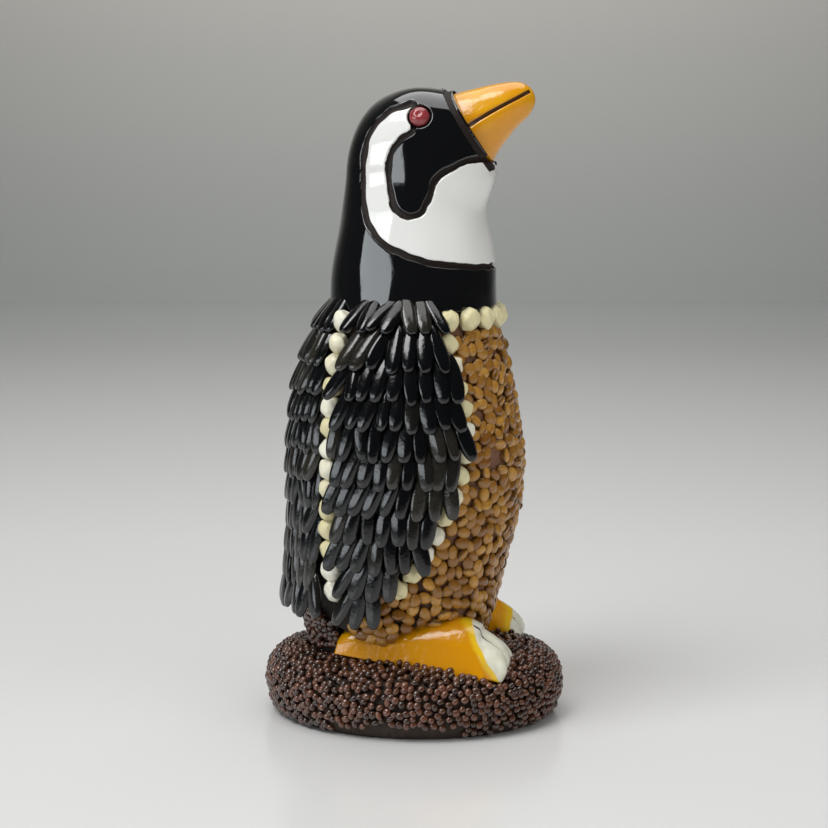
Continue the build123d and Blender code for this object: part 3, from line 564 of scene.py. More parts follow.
class PENGUIN_OT_head(bpy.types.Operator):
    """Head and neck with carved channels round the white field, the beak and the eyes"""

    bl_idname = "penguin.head"
    bl_label = "Head"

    # Grid: share of the rows under the brow, end of the crown's arc in degrees, turned-in foot.
    LOWER_ROWS = 0.55
    CROWN_ARC = 88.5
    FOOT_INSET = 0.1
    FOOT_DROP = np.array([0.0, 0.0, -0.01])
    BLACK_EDGE = 9.0
    # Unsteady hand and brush: height and run of the waves in millimetres.
    HAND = (0.1, 3.1)
    BRUSH = (0.1, 9.0)
    # Channels, in millimetres.
    LIP = 0.05
    WALL = 0.22
    # Ring behind the beak seat and hollow in the seat, in millimetres.
    RING = 1.3
    RING_PAINT = 1.2
    RING_FLOOR = 1.0
    RING_DEPTH = 0.45
    RING_LOW = 1.7
    SEAT_EDGE = 1.0
    SEAT_BACK = 0.6
    SEAT_DEPTH = 0.9
    SEAT_BLEND = 0.06
    # Eye sockets, in millimetres.
    SOCKET_GAP = 0.35
    SOCKET_DEPTH = 1.3
    SOCKET_SPAN = 4.0
    SOCKET_MARGIN = 0.2
    SOCKET_WALL = (-0.25, 0.15)

    def execute(self, context):
        head, paint = settings(context, "head", "paint")
        rows, columns = ((300, 520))
        low, top, crown = head.neck[0] / MM, head.brow[0] / MM, head.crown / MM
        lower = np.linspace(low, top, int(rows * self.LOWER_ROWS))
        arc = np.linspace(0, math.radians(self.CROWN_ARC), rows - len(lower) + 1)[1:]
        heights = np.concatenate([lower, top + (crown - top) * np.sin(arc)])
        points, edge = self.carve(head, head_points(head, *round_grid(heights, columns)))
        foot = points[:columns]
        rim = foot + (foot.mean(axis=0) - foot) * self.FOOT_INSET + self.FOOT_DROP
        points, faces = capped(np.vstack([rim, points]), rows + 1, columns)
        edge = np.concatenate([np.full(columns, self.BLACK_EDGE), edge, np.full(2, self.BLACK_EDGE)])
        enamel = head_enamel(head, paint)
        nodes = ("head", "face_enamel")
        piece("head_enamel", points * MM, faces, enamel, nodes, {"edge": edge})
        return {"FINISHED"}

    def carve(self, head, points):
        """Sinks the channels, beak seat and eye sockets, and gives the distance to the white field."""
        edge, sunk = self.channels(head, points)
        axis = np.array([0.0, 0.0, 1.0]) * np.minimum(points[:, 2:3], head.brow[0] / MM)
        normal = points - axis
        normal /= np.maximum(np.linalg.norm(normal, axis=1)[:, None], TINY)
        height, run = self.BRUSH
        points = points + normal * height * ripple(points, run, SEED + 1)[:, None]
        points, edge = self.seat(head, points, normal, edge)
        for mirror in (False, True):
            points, edge = self.socket(head, points, edge, mirror)
        return points - normal * sunk[:, None], edge

    def channels(self, head, points):
        """Distance of points to the white field, and the depth of the channel round it there."""
        outline = np.vstack([spline_points(NAPE), [CHIN], spline_points(CHEEK)])
        side = np.stack([-points[:, 1], points[:, 2]], axis=1)
        height, run = self.HAND
        edge = outline_distance(outline, side) + height * ripple(points, run, SEED)
        width = head.channel / MM
        inner = step(edge, -self.LIP, self.WALL)
        outer = 1 - step(edge, width - self.WALL, width + self.LIP)
        return edge, head.channel_depth / MM * inner * outer

    def seat(self, head, points, normal, edge):
        """Cuts the head flat under the beak, with a dark ring behind the cut and a hollow in it."""
        middle, across, up, out = beak_frame(head)
        in_channel = head.channel / MM / 2
        half_width, half_height = head.beak_half_width / MM, head.beak_half_height / MM
        beyond = (points - middle) @ out
        points = points - np.maximum(beyond, 0.0)[:, None] * out
        u, v = (points - middle) @ across, (points - middle) @ up
        ring = np.hypot(u / (half_width + self.SEAT_EDGE), v / (half_height + self.SEAT_EDGE))
        behind = (beyond > -self.RING) & (beyond <= 0.0) & (v > -(half_height + self.RING_LOW))
        depth = behind * self.RING_DEPTH * step(beyond, -self.RING, -self.RING_FLOOR)
        points = points - depth[:, None] * normal
        edge = np.where(behind & (beyond > -self.RING_PAINT), in_channel, edge)
        on_seat = (beyond > -self.SEAT_BACK) & (ring < 1.0)
        depth = on_seat * self.SEAT_DEPTH * step(1.0 - ring, 0.0, self.SEAT_BLEND)
        return points - depth[:, None] * out, np.where(on_seat, in_channel, edge)

    def socket(self, head, points, edge, mirror):
        """Sinks one eye socket."""
        place, outward = eye_frame(head, mirror)
        away = points - place
        along = away @ outward
        radius = np.linalg.norm(away - along[:, None] * outward, axis=1)
        reach = head.eye_radius / MM + self.SOCKET_GAP
        near = (np.abs(along) < self.SOCKET_SPAN) & (radius < reach + self.SOCKET_MARGIN)
        inner, outer = self.SOCKET_WALL
        dip = np.where(near, self.SOCKET_DEPTH * (1 - step(radius, reach + inner, reach + outer)), 0.0)
        edge = np.where(near & (radius < reach), head.channel / MM / 2, edge)
        return points - dip[:, None] * outward, edge


class PENGUIN_OT_beak(bpy.types.Operator):
    """Blunt upturned beak with a carved mouth line"""

    bl_idname = "penguin.beak"
    bl_label = "Beak"

    # Shares of the length: root inside the head, tip, end of the mouth line and of the brush waves.
    ROOT = -0.07
    TIP = 0.9995
    MOUTH_END = 0.965
    BRUSH_END = 0.95
    # Powers of the rounded end and of the slightly square section.
    END_POWER = 8
    SECTION_POWER = 1.08
    # Mouth line in millimetres: height, wave, depth and least half width; edges in half widths.
    MOUTH_HEIGHT = 0.35
    MOUTH_WAVE = (0.12, 5.0)
    MOUTH_EDGES = (0.5, 1.7)
    MOUTH_DEPTH = 0.55
    MOUTH_LEAST = 0.6
    MOUTH_SHARE = 0.5
    BRUSH = (0.07, 5.0)

    def execute(self, context):
        head, paint = settings(context, "head", "paint")
        rows, columns = ((110, 160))
        share = np.sin(np.linspace(0, math.pi / 2, rows))
        share = np.concatenate([[self.ROOT], share[:-1], [self.TIP]])
        points, groove = self.skin(head, *round_grid(share, columns))
        points, faces = capped(points, len(share), columns)
        groove = np.concatenate([groove, [0.0, 0.0]])
        enamel = beak_enamel(paint)
        piece("beak_enamel", points * MM, faces, enamel, ("beak",), {"groove": groove})
        return {"FINISHED"}

    def skin(self, head, share, turn):
        """Points at shares of the length and angles round the beak, and 0 to 1 in the mouth line there."""
        held = np.clip(share, 0, 1)
        size = (1 - (1 - head.beak_end) * held) * np.sqrt(np.maximum(1 - held**self.END_POWER, 0))
        u = head.beak_half_width / MM * size * self.squared(np.cos(turn))
        v = head.beak_half_height / MM * size * self.squared(np.sin(turn))
        v = v * np.where(v < 0, 1 - head.beak_bow * np.sin(math.pi * held), 1.0)
        groove = self.mouth(head, held, v)
        depth = np.minimum(self.MOUTH_DEPTH / np.maximum(np.abs(u), self.MOUTH_LEAST), self.MOUTH_SHARE)
        u = u * (1 - groove * depth)
        middle, across, up, out = beak_frame(head)
        away = u[:, None] * across + v[:, None] * up
        points = middle + away + (head.beak_length / MM * share)[:, None] * out
        away /= np.maximum(np.linalg.norm(away, axis=1)[:, None], TINY)
        height, run = self.BRUSH
        waves = height * ripple(points, run, SEED + 2) * (held < self.BRUSH_END)
        return points + away * waves[:, None], groove

    def squared(self, wave):
        """Sine or cosine with the corners of the section drawn in a little."""
        return np.sign(wave) * np.abs(wave) ** self.SECTION_POWER

    def mouth(self, head, held, v):
        """1 in the mouth line and 0 beside it."""
        half = head.mouth / MM
        height, pace = self.MOUTH_WAVE
        line = v - self.MOUTH_HEIGHT - height * np.sin(held * pace)
        inner, outer = self.MOUTH_EDGES
        return (1 - step(np.abs(line), half * inner, half * outer)) * (held < self.MOUTH_END)


class PENGUIN_OT_eyes(bpy.types.Operator):
    """Round glass bead in each eye socket"""

    bl_idname = "penguin.eyes"
    bl_label = "Eyes"

    # Depth against width of a bead; depth of its dimple and how far it sits in, in millimetres.
    FLATNESS = 0.75
    DIMPLE = 0.35
    DIMPLE_SPREAD = 0.05
    SUNK = 0.45

    def execute(self, context):
        head, paint = settings(context, "head", "paint")
        glass = eye_glass(paint)
        form, faces = ball(18, 36)
        radius = head.eye_radius / MM
        off_axis = form[:, 0] ** 2 + form[:, 1] ** 2
        dimple = self.DIMPLE * np.exp(-(off_axis / self.DIMPLE_SPREAD)) * (form[:, 2] > 0)
        bead = form * np.array([radius, radius, self.FLATNESS * radius])
        bead[:, 2] -= dimple
        for node, mirror in (("right_eye", False), ("left_eye", True)):
            place, normal = eye_frame(head, mirror)
            placed = bead @ turned(normal) + place - self.SUNK * normal
            piece(node + "_bead", placed * MM, faces, glass, (node,))
        return {"FINISHED"}


def turned(normal):
    """Rows of a frame whose third axis is the normal."""
    steep = 0.9
    helper = np.array([0.0, 0.0, 1.0]) if abs(normal[2]) < steep else np.array([0.0, 1.0, 0.0])
    first = np.cross(helper, normal)
    first /= np.linalg.norm(first)
    return np.stack([first, np.cross(normal, first), normal])


def ball(rows, columns):
    """Unit ball with its poles on the third axis, and its faces."""
    lift, turn = round_grid(np.linspace(-math.pi / 2, math.pi / 2, rows + 2)[1:-1], columns)
    points = np.stack([np.cos(lift) * np.cos(turn), np.cos(lift) * np.sin(turn), np.sin(lift)], axis=-1)
    points, faces = capped(points, rows, columns)
    points[-2:, :] = ((0, 0, -1), (0, 0, 1))
    return points, faces


def seed_form(rows, columns, blunt, point):
    """Unit seed along the first axis, rounded by one power at its +1 end and by another at its -1 end."""
    points, faces = ball(rows, columns)
    points = points[:, [2, 0, 1]]
    along = points[:, 0]
    plain = np.sqrt(np.maximum(1 - along**2, 1e-9))
    wanted = np.maximum(1 - along, 0) ** blunt * np.maximum(1 + along, 0) ** point
    wanted = wanted / wanted.max()
    points[:, 1:] *= (wanted / plain)[:, None] * (plain > 1e-3)[:, None]
    return points, faces


def node_triangles(node):
    """Points of a node in millimetres and the corners of its triangles."""
    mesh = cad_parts[node].data
    points = np.empty(len(mesh.vertices) * 3, dtype=np.float32)
    mesh.vertices.foreach_get("co", points)
    mesh.calc_loop_triangles()
    triangles = np.empty(len(mesh.loop_triangles) * 3, dtype=np.int32)
    mesh.loop_triangles.foreach_get("vertices", triangles)
    return points.reshape(-1, 3).astype(float) / MM, triangles.reshape(-1, 3)


def islands(node):
    """Middle, axes and half sizes of each separate solid of a node: length, width and outward height."""
    points, triangles = node_triangles(node)
    _, same = np.unique(np.round(points, 3), axis=0, return_inverse=True)
    same = same.reshape(-1)
    triangles = same[triangles]
    label = np.arange(same.max() + 1)
    changed = True
    while changed:
        least = label[triangles].min(axis=1)
        fresh = label.copy()
        for corner in range(3):
            np.minimum.at(fresh, triangles[:, corner], least)
        changed = bool((fresh != label).any())
        label = fresh
    groups = label[same]
    return [solid_frame(points[groups == key]) for key in np.unique(groups)]


def middles(*nodes):
    """Middles of all the separate solids of some nodes."""
    return [middle for node in nodes for middle, _, _ in islands(node)]


def solid_frame(cloud):
    """Middle, axes and half sizes of one solid's points."""
    middle = cloud.mean(axis=0)
    _, axes = np.linalg.eigh(np.cov((cloud - middle).T))
    long_axis, up = axes[:, 2], axes[:, 0]
    if up[0] * middle[0] + up[1] * middle[1] < 0:
        up = -up
    if long_axis[2] > 0:
        long_axis = -long_axis
    rows = np.stack([long_axis, np.cross(up, long_axis), up])
    local = (cloud - middle) @ rows.T
    low, high = local.min(axis=0), local.max(axis=0)
    return middle + ((low + high) / 2) @ rows, rows, (high - low) / 2


def turn_about(axis, amount):
    """Rotation matrix about a unit axis, to be applied to row vectors."""
    x, y, z = axis
    c, s = math.cos(amount), math.sin(amount)
    k = np.array([[0, -z, y], [z, 0, -x], [-y, x, 0]])
    return (np.eye(3) + s * k + (1 - c) * (k @ k)).T


def scatter(form, faces, frames, rng, yaw, roll, spread):
    """Points, faces, tones and rims of copies of a form, one in each frame of middle, axes and sizes.

    The yaw and roll of a copy spread in radians, its size by a share.
    """
    clouds, polygons, tones = [], [], []
    count = len(form)
    for index, (middle, rows, half) in enumerate(frames):
        sizes = half * rng.uniform(1 - spread, 1 + spread, size=3)
        twist = turn_about(rows[2], rng.normal(0, yaw)) @ turn_about(rows[0], rng.normal(0, roll))
        clouds.append((form * sizes) @ (rows @ twist) + middle)
        polygons += [[v + index * count for v in face] for face in faces]
        tones.append(np.full(count, rng.uniform()))
    # Rim: 0 at the top and bottom of a seed, 1 round its edge; the seed coats paint shade by it.
    rim = np.tile(1 - np.abs(form[:, 2]) / np.abs(form[:, 2]).max(), len(frames))
    return np.vstack(clouds), polygons, {"tone": np.concatenate(tones), "rim": rim}


class PENGUIN_OT_feathers(bpy.types.Operator):
    """Shingled black seeds of the wings, back and tail"""

    bl_idname = "penguin.feathers"
    bl_label = "Feathers"

    # Count and height of the ribs along a seed.
    RIBS = 5
    RIB_HEIGHT = 0.055
    # Millimetres: how deep a seed sits, the top row and its lift, and the height of a row.
    SUNK = 0.25
    TOP_ROW = 70.0
    TOP_LIFT = 0.9
    ROW = 1.2

    def execute(self, context):
        seeds, paint = settings(context, "seeds", "paint")
        finish = {"roughness": 0.15, "spread": (0.66, 1.2), "coat": 0.5, "relief": 0.00006}
        coat = seed_coat("Glossy black seed coat", paint.black_seed, paint.grey_seed, **finish)
        rows, columns = ((16, 20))
        form, faces = seed_form(rows, columns, blunt=0.36, point=0.5)
        ribs = 1 + self.RIB_HEIGHT * np.cos(self.RIBS * np.arctan2(form[:, 2], form[:, 1]))
        form = form * np.stack([np.ones(len(form)), ribs, ribs], axis=1)
        rng = np.random.default_rng(SEED)
        for node in ("right_wing_feathers", "left_wing_feathers", "back_feathers"):
            frames = self.laid(seeds, node)
            points, polygons, values = scatter(form, faces, frames, rng, yaw=0.13, roll=0.22, spread=0.09)
            piece(node + "_seeds", points * MM, polygons, coat, (node,), values)
        return {"FINISHED"}

    def laid(self, seeds, node):
        """Frames of the seeds of a node, laid like shingles where its solids are."""
        half_width, thick = seeds.feather_width / MM / 2, seeds.feather_thickness / MM / 2
        cover = seeds.feather_cover / MM / 2
        solids = islands(node)
        shifts = self.spread(solids, seeds.feather_spread if "wing" in node else 0.0)
        frames = []
        for (middle, rows, half), shift in zip(solids, shifts):
            rise = rows[2] * (thick - half[2] - self.SUNK)
            lift = self.TOP_LIFT if middle[2] > self.TOP_ROW else 0.0
            place = middle + rise + shift - rows[0] * (cover + lift)
            if node == "back_feathers":
                place = place + rows[2] * self.flare(seeds, middle[2])
            frames.append((place, rows, np.array([half[0] + cover, half_width, thick])))
        return frames

    def flare(self, seeds, height):
        """Outward shift of a back seed at this height, in millimetres: the tail stands off the body."""
        low = (seeds.tail_top / MM - height) / ((seeds.tail_top - seeds.tail_foot) / MM)
        return seeds.tail_flare / MM * step(low, 0.0, 1.0)

    def spread(self, solids, share):
        """Shift of each seed along the skin, away from the middle of its row."""
        heights = np.array([middle[2] for middle, _, _ in solids])
        along = np.array([middle[1] for middle, _, _ in solids])
        result = []
        for middle, rows, _ in solids:
            in_row = along[np.abs(heights - middle[2]) < self.ROW]
            away = middle[1] - (in_row.min() + in_row.max()) / 2
            tangent = np.array([-rows[2][1], rows[2][0], 0.0])
            tangent = tangent / np.linalg.norm(tangent) * np.sign(tangent[1])
            result.append(tangent * away * share)
        return result


class PENGUIN_OT_borders(bpy.types.Operator):
    """Pale round grains along the wings and round the collar"""

    bl_idname = "penguin.borders"
    bl_label = "Border grains"

    # Shift of a file of grains in millimetres, and the shares of their built size that they show.
    COLLAR = ((0.0, 0.0, 0.5), (1.18, 1.18, 0.9))
    FRONT = ((0.0, 0.6, 0.0), (1.05, 1.05, 0.76))
    REAR = ((0.0, 0.0, 0.0), (1.22, 1.18, 0.9))
    # Dents: height and run in millimetres.
    DENTS = (0.14, 1.7)

    def execute(self, context):
        (paint,) = settings(context, "paint")
        finish = {"roughness": 0.42, "spread": (0.55, 0.95), "coat": 0.1}
        coat = seed_coat("Waxy pale grain", paint.pale, paint.chalk, **finish)
        form, faces = ball(16, 24)
        form = form[:, [2, 0, 1]]
        rng = np.random.default_rng(SEED + 1)
        height, run = self.DENTS
        for node in BORDERS + ("collar_grains",):
            frames = self.laid(node)
            points, polygons, values = scatter(form, faces, frames, rng, yaw=0.4, roll=0.2, spread=0.1)
            dents = np.stack([ripple(points, run, SEED + axis) for axis in range(3)], axis=1)
            points = points + height * dents
            piece(node + "_skin", points * MM, polygons, coat, (node,), values)
        return {"FINISHED"}

    def laid(self, node):
        """Frames of a file of grains, facing out from the body."""
        shift, share = self.REAR
        if node == "collar_grains":
            shift, share = self.COLLAR
        elif "front" in node:
            shift, share = self.FRONT
        frames = []
        for middle, _, half in islands(node):
            out = np.array([middle[0], middle[1], 0.0])
            rows = turned(out / np.linalg.norm(out))
            frames.append((middle + np.array(shift), rows, np.array(share) * max(half)))
        return frames


def nearest(points, others):
    """Distance of each point to the nearest of the others."""
    best = np.full(len(points), FAR)
    for other in others:
        best = np.minimum(best, ((points - other) ** 2).sum(axis=1))
    return np.sqrt(best)


def thrown(node, facing, tries, rng):
    """Points thrown evenly over the triangles of a node that a test picks, and the normals there."""
    points, triangles = node_triangles(node)
    corners = points[triangles]
    cross = np.cross(corners[:, 1] - corners[:, 0], corners[:, 2] - corners[:, 0])
    area = np.linalg.norm(cross, axis=1) / 2
    normal = cross / np.maximum(2 * area, 1e-9)[:, None]
    chosen = facing(corners.mean(axis=1), normal) & (area > 1e-7)
    corners, area, normal = corners[chosen], area[chosen], normal[chosen]
    pick = rng.choice(len(area), size=tries, p=area / area.sum())
    a, b = rng.uniform(size=(2, tries))
    fold = a + b > 1
    a, b = np.where(fold, 1 - a, a)[:, None], np.where(fold, 1 - b, b)[:, None]
    first, second, third = corners[pick].transpose(1, 0, 2)
    return first + a * (second - first) + b * (third - first), normal[pick]


def apart(spots, spacing):
    """Indices of points kept in turn so that no two are closer than the spacing."""
    cells, kept = {}, []
    for index, spot in enumerate(spots):
        i, j, k = np.floor(spot / spacing).astype(int)
        close = []
        for a in (i - 1, i, i + 1):
            for b in (j - 1, j, j + 1):
                for c in (k - 1, k, k + 1):
                    close += cells.get((a, b, c), [])
        if all(((spots[other] - spot) ** 2).sum() >= spacing**2 for other in close):
            cells.setdefault((i, j, k), []).append(index)
            kept.append(index)
    return kept


class PENGUIN_OT_belly(bpy.types.Operator):
    """Brown seeds packed over the belly, with a bare patch where some have been lost"""

    bl_idname = "penguin.belly"
    bl_label = "Belly seeds"

    # Millimetres: rise over the core, lowest seed, middle of the bare patch.
    RISE = (0.25, 0.65)
    LOWEST = 12.5
    BARE = np.array([-9.6, -15.6, 48.5])
    # Millimetres: farthest from a built seed, nearest to the borders and the collar.
    REACH = 3.2
    FROM_BORDER = 1.5
    FROM_COLLAR = 1.9
    # Millimetres: the seeds under the wing reach farther, up to a height and a place along the bird.
    WING_REACH = 7.0
    WING_TOP = 25.0
    WING_BACK = 9.0

    def execute(self, context):
        seeds, paint = settings(context, "seeds", "paint")
        # The rim range spreads the painted shade further in from each seed's rim.
        finish = {"roughness": 0.24, "spread": (0.0, 1.0), "coat": 0.55, "rim": (0.4, 1.0)}
        coat = seed_coat("Polished brown seed coat", paint.brown_dark, paint.brown_light, **finish)
        rows, columns = ((12, 16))
        form, faces = seed_form(rows, columns, blunt=0.45, point=0.55)
        rng = np.random.default_rng(SEED + 2)
        sizes = np.array([seeds.belly_length, seeds.belly_width, seeds.belly_thickness]) / MM / 2
        frames = []
        for place, normal in zip(*self.places(seeds, rng)):
            axes = turned(normal) @ turn_about(normal, rng.uniform(0, FULL_TURN))
            frames.append((place + normal * rng.uniform(*self.RISE), axes, sizes))
        points, polygons, values = scatter(form, faces, frames, rng, yaw=0.0, roll=0.4, spread=0.1)
        piece("belly_seed_skin", points * MM, polygons, coat, ("belly_seeds",), values)
        return {"FINISHED"}

    def places(self, seeds, rng):
        """Places of the seeds on the body core and the normals there."""
        spots, normals = thrown("body_core", self.above, seeds.belly_tries, rng)
        away = nearest(spots, middles("belly_seeds"))
        under_wing = (away < self.WING_REACH) & (spots[:, 2] < self.WING_TOP) & (spots[:, 1] < self.WING_BACK)
        wanted = (spots * normals)[:, :2].sum(axis=1) > 0
        wanted &= (away < self.REACH) | under_wing
        wanted &= nearest(spots, middles(*BORDERS)) > self.FROM_BORDER
        wanted &= nearest(spots, middles("collar_grains")) > self.FROM_COLLAR
        wanted &= np.linalg.norm(spots - self.BARE, axis=1) > seeds.bare_spot / MM
        spots, normals = spots[wanted], normals[wanted]
        kept = apart(spots, seeds.belly_spacing / MM)
        return spots[kept], normals[kept]

    def above(self, middle, normal):
        """Picks the triangles over the lowest seeds."""
        return middle[:, 2] > self.LOWEST


class PENGUIN_OT_base(bpy.types.Operator):
    """Crust of small dark grains over the mound"""

    bl_idname = "penguin.base"
    bl_label = "Base grains"

    # Middle of the mound in millimetres, and how far under the level its outer skin may face.
    HEART = np.array([0.0, 0.0, 3.0])
    UNDER = -0.75
    # Worn edge on the right side, in millimetres: height, waves, start across, half length.
    WORN = 2.4
    WORN_WAVE = (1.0, 13.0)
    WORN_ACROSS = -8
    WORN_HALF = 12
    # Under a foot, in millimetres: half width and height of the bare skin.
    FOOT_HALF = 5.2
    FOOT_UP = 13.6
    # Grains: shares of the radius, tilt, sunk shares; least height over the floor in millimetres.
    SHAPE = np.array([1.08, 1.0, 0.85])
    TILT = 0.25
    SUNK = (0.7, 1.0)
    FLOOR = 0.02

    def execute(self, context):
        feet, seeds, paint = settings(context, "feet", "seeds", "paint")
        rng = np.random.default_rng(SEED + 3)
        spots, normals = self.places(feet, seeds, rng)
        finish = {"roughness": 0.18, "spread": (0.0, 1.2), "coat": 0.8}
        coat = seed_coat("Polished dark base grain", paint.base_dark, paint.base_red, **finish)
        form, faces = ball(8, 12)
        radius = seeds.base_radius / MM
        frames = []
        for place, normal in zip(spots, normals):
            tilted = normal + rng.normal(0, self.TILT, size=3)
            axes = turned(tilted / np.linalg.norm(tilted))
            frames.append((place - normal * radius * rng.uniform(*self.SUNK), axes, radius * self.SHAPE))
        points, polygons, values = scatter(form, faces, frames, rng, yaw=1.5, roll=0.3, spread=0.2)
        points[:, 2] = np.maximum(points[:, 2], self.FLOOR)
        piece("base_grains", points * MM, polygons, coat, ("base_grain_coat",), values)
        return {"FINISHED"}

    def places(self, feet, seeds, rng):
        """Places of the grains on the mound's coat and the normals there."""
        tries = seeds.base_tries
        spots, normals = thrown("base_grain_coat", self.outside, tries, rng)
        x, y, z = spots.T
        height, run = self.WORN_WAVE
        worn = z < self.WORN + height * ripple(spots, run, SEED)
        worn &= (x < self.WORN_ACROSS) & (np.abs(y) < self.WORN_HALF)
        on_foot = np.abs(np.abs(x) - feet.heel_x / MM) < self.FOOT_HALF
        on_foot &= (y < feet.heel_y / MM) & (z > self.FOOT_UP)
        spots, normals = spots[~worn & ~on_foot], normals[~worn & ~on_foot]
        kept = apart(spots, seeds.base_spacing / MM)
        return spots[kept], normals[kept]

    def outside(self, middle, normal):
        """Picks the triangles of the outer skin, without the underside."""
        return (((middle - self.HEART) * normal).sum(axis=1) > 0) & (normal[:, 2] > self.UNDER)


class PENGUIN_OT_feet(bpy.types.Operator):
    """Enamelled feet and claws, their edges softened by the paint"""

    bl_idname = "penguin.feet"
    bl_label = "Feet"

    # Even mesh in millimetres, quick and full, and its smoothing.
    VOXELS = (0.4, 0.2)
    SMOOTHING = 18
    SMOOTH_SHARE = 0.5
    # Unsteady brush: height and run in millimetres; blur of the cream edge; shares of rim and line.
    HAND = (0.25, 4.0)
    BLUR = 0.12
    RIM_END = 0.3
    LINE_EDGES = (0.5, 1.5)

    def execute(self, context):
        feet, paint = settings(context, "feet", "paint")
        enamel = foot_enamel(paint)
        for side, sign in (("right", -1), ("left", 1)):
            nodes = (side + "_foot", side + "_claws")
            points, faces = self.soften(nodes)
            points = self.arched(feet, sign, points)
            values = self.painted(feet, sign, points)
            piece(side + "_foot_enamel", points * MM, faces, enamel, nodes, values)
        return {"FINISHED"}

    def painted(self, feet, sign, points):
        """Cream over the claws, yellow behind it and the lines between the claws, as values of 0 to 1."""
        ahead, across = self.local(feet, sign, points)
        high = points[:, 2] - feet.sole_z / MM + ahead * math.tan(feet.dip)
        rake = feet.rake if sign < 0 else feet.left_rake
        height, run = self.HAND
        front = ahead - ahead.max() + feet.claw_tip / MM + rake * high + height * ripple(points, run, SEED)
        rim = step(front, -feet.rim / MM, -self.RIM_END * feet.rim / MM)
        claw = step(front, -self.BLUR, self.BLUR)
        gap = np.abs(np.abs(across) - feet.claw_pitch / MM / 2)
        inner, outer = self.LINE_EDGES
        groove = (1 - step(gap, inner * feet.line / MM, outer * feet.line / MM)) * claw
        return {"rim": rim, "claw": claw, "groove": groove}

    def local(self, feet, sign, points):
        """Distance of points ahead of the heel and across the foot, in millimetres."""
        away = points[:, :2] - np.array([sign * feet.heel_x, feet.heel_y]) / MM
        lead = np.array([sign * math.sin(feet.splay), -math.cos(feet.splay)])
        return away @ lead, away @ np.array([-lead[1], lead[0]])

    def arched(self, feet, sign, points):
        """Points with the upper side rounded down towards the sides, the toes and the heel."""
        ahead, across = self.local(feet, sign, points)
        sole = feet.sole_z / MM - ahead * math.tan(feet.dip)
        to_tip = ((ahead - ahead.max()) * MM / feet.droop_run + 1).clip(0, 1)
        to_heel = (1 - (ahead - ahead.min()) * MM / feet.heel_run).clip(0, 1)
        lowered = 1 - feet.arch * (across * MM / feet.half_width) ** 2
        lowered = lowered * (1 - feet.droop * to_tip**2) * (1 - feet.heel_drop * to_heel**2)
        height = np.where(points[:, 2] > sole, sole + (points[:, 2] - sole) * lowered, points[:, 2])
        return np.stack([points[:, 0], points[:, 1], height], axis=1)

    def soften(self, nodes):
        """Points and faces of an evenly meshed copy of some nodes in one, with softened edges."""
        joined = bmesh.new()
        for node in nodes:
            joined.from_mesh(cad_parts[node].data)
        mesh = bpy.data.meshes.new("joined")
        joined.to_mesh(mesh)
        joined.free()
        copy = bpy.data.objects.new("joined", mesh)
        bpy.context.scene.collection.objects.link(copy)
        quick, full = self.VOXELS
        remesh = copy.modifiers.new("even", "REMESH")
        remesh.mode = "VOXEL"
        remesh.voxel_size = full * MM
        smooth = copy.modifiers.new("soft", "SMOOTH")
        smooth.iterations = self.SMOOTHING
        smooth.factor = self.SMOOTH_SHARE
        graph = bpy.context.evaluated_depsgraph_get()
        mesh = bpy.data.meshes.new_from_object(copy.evaluated_get(graph))
        points = np.array([v.co for v in mesh.vertices]) / MM
        faces = [list(p.vertices) for p in mesh.polygons]
        bpy.data.objects.remove(copy)
        return points, faces


class PENGUIN_OT_cores(bpy.types.Operator):
    """Primed clay of the mound, body and wing slabs that shows between the seeds"""

    bl_idname = "penguin.cores"
    bl_label = "Clay cores"

    def execute(self, context):
        (paint,) = settings(context, "paint")
        dark = primed_clay("Dark primed clay", paint.dark_clay, paint.dusty_clay)
        # The body's clay carries painted shade under the feathers.
        warm = primed_clay("Brown primed clay", paint.core, paint.pale_core, paint.shade_under_feathers)
        for node in ("base_core", "body_core", "right_wing", "left_wing"):
            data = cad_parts[node].data
            data.materials.clear()
            data.materials.append(warm if node == "body_core" else dark)
        return {"FINISHED"}


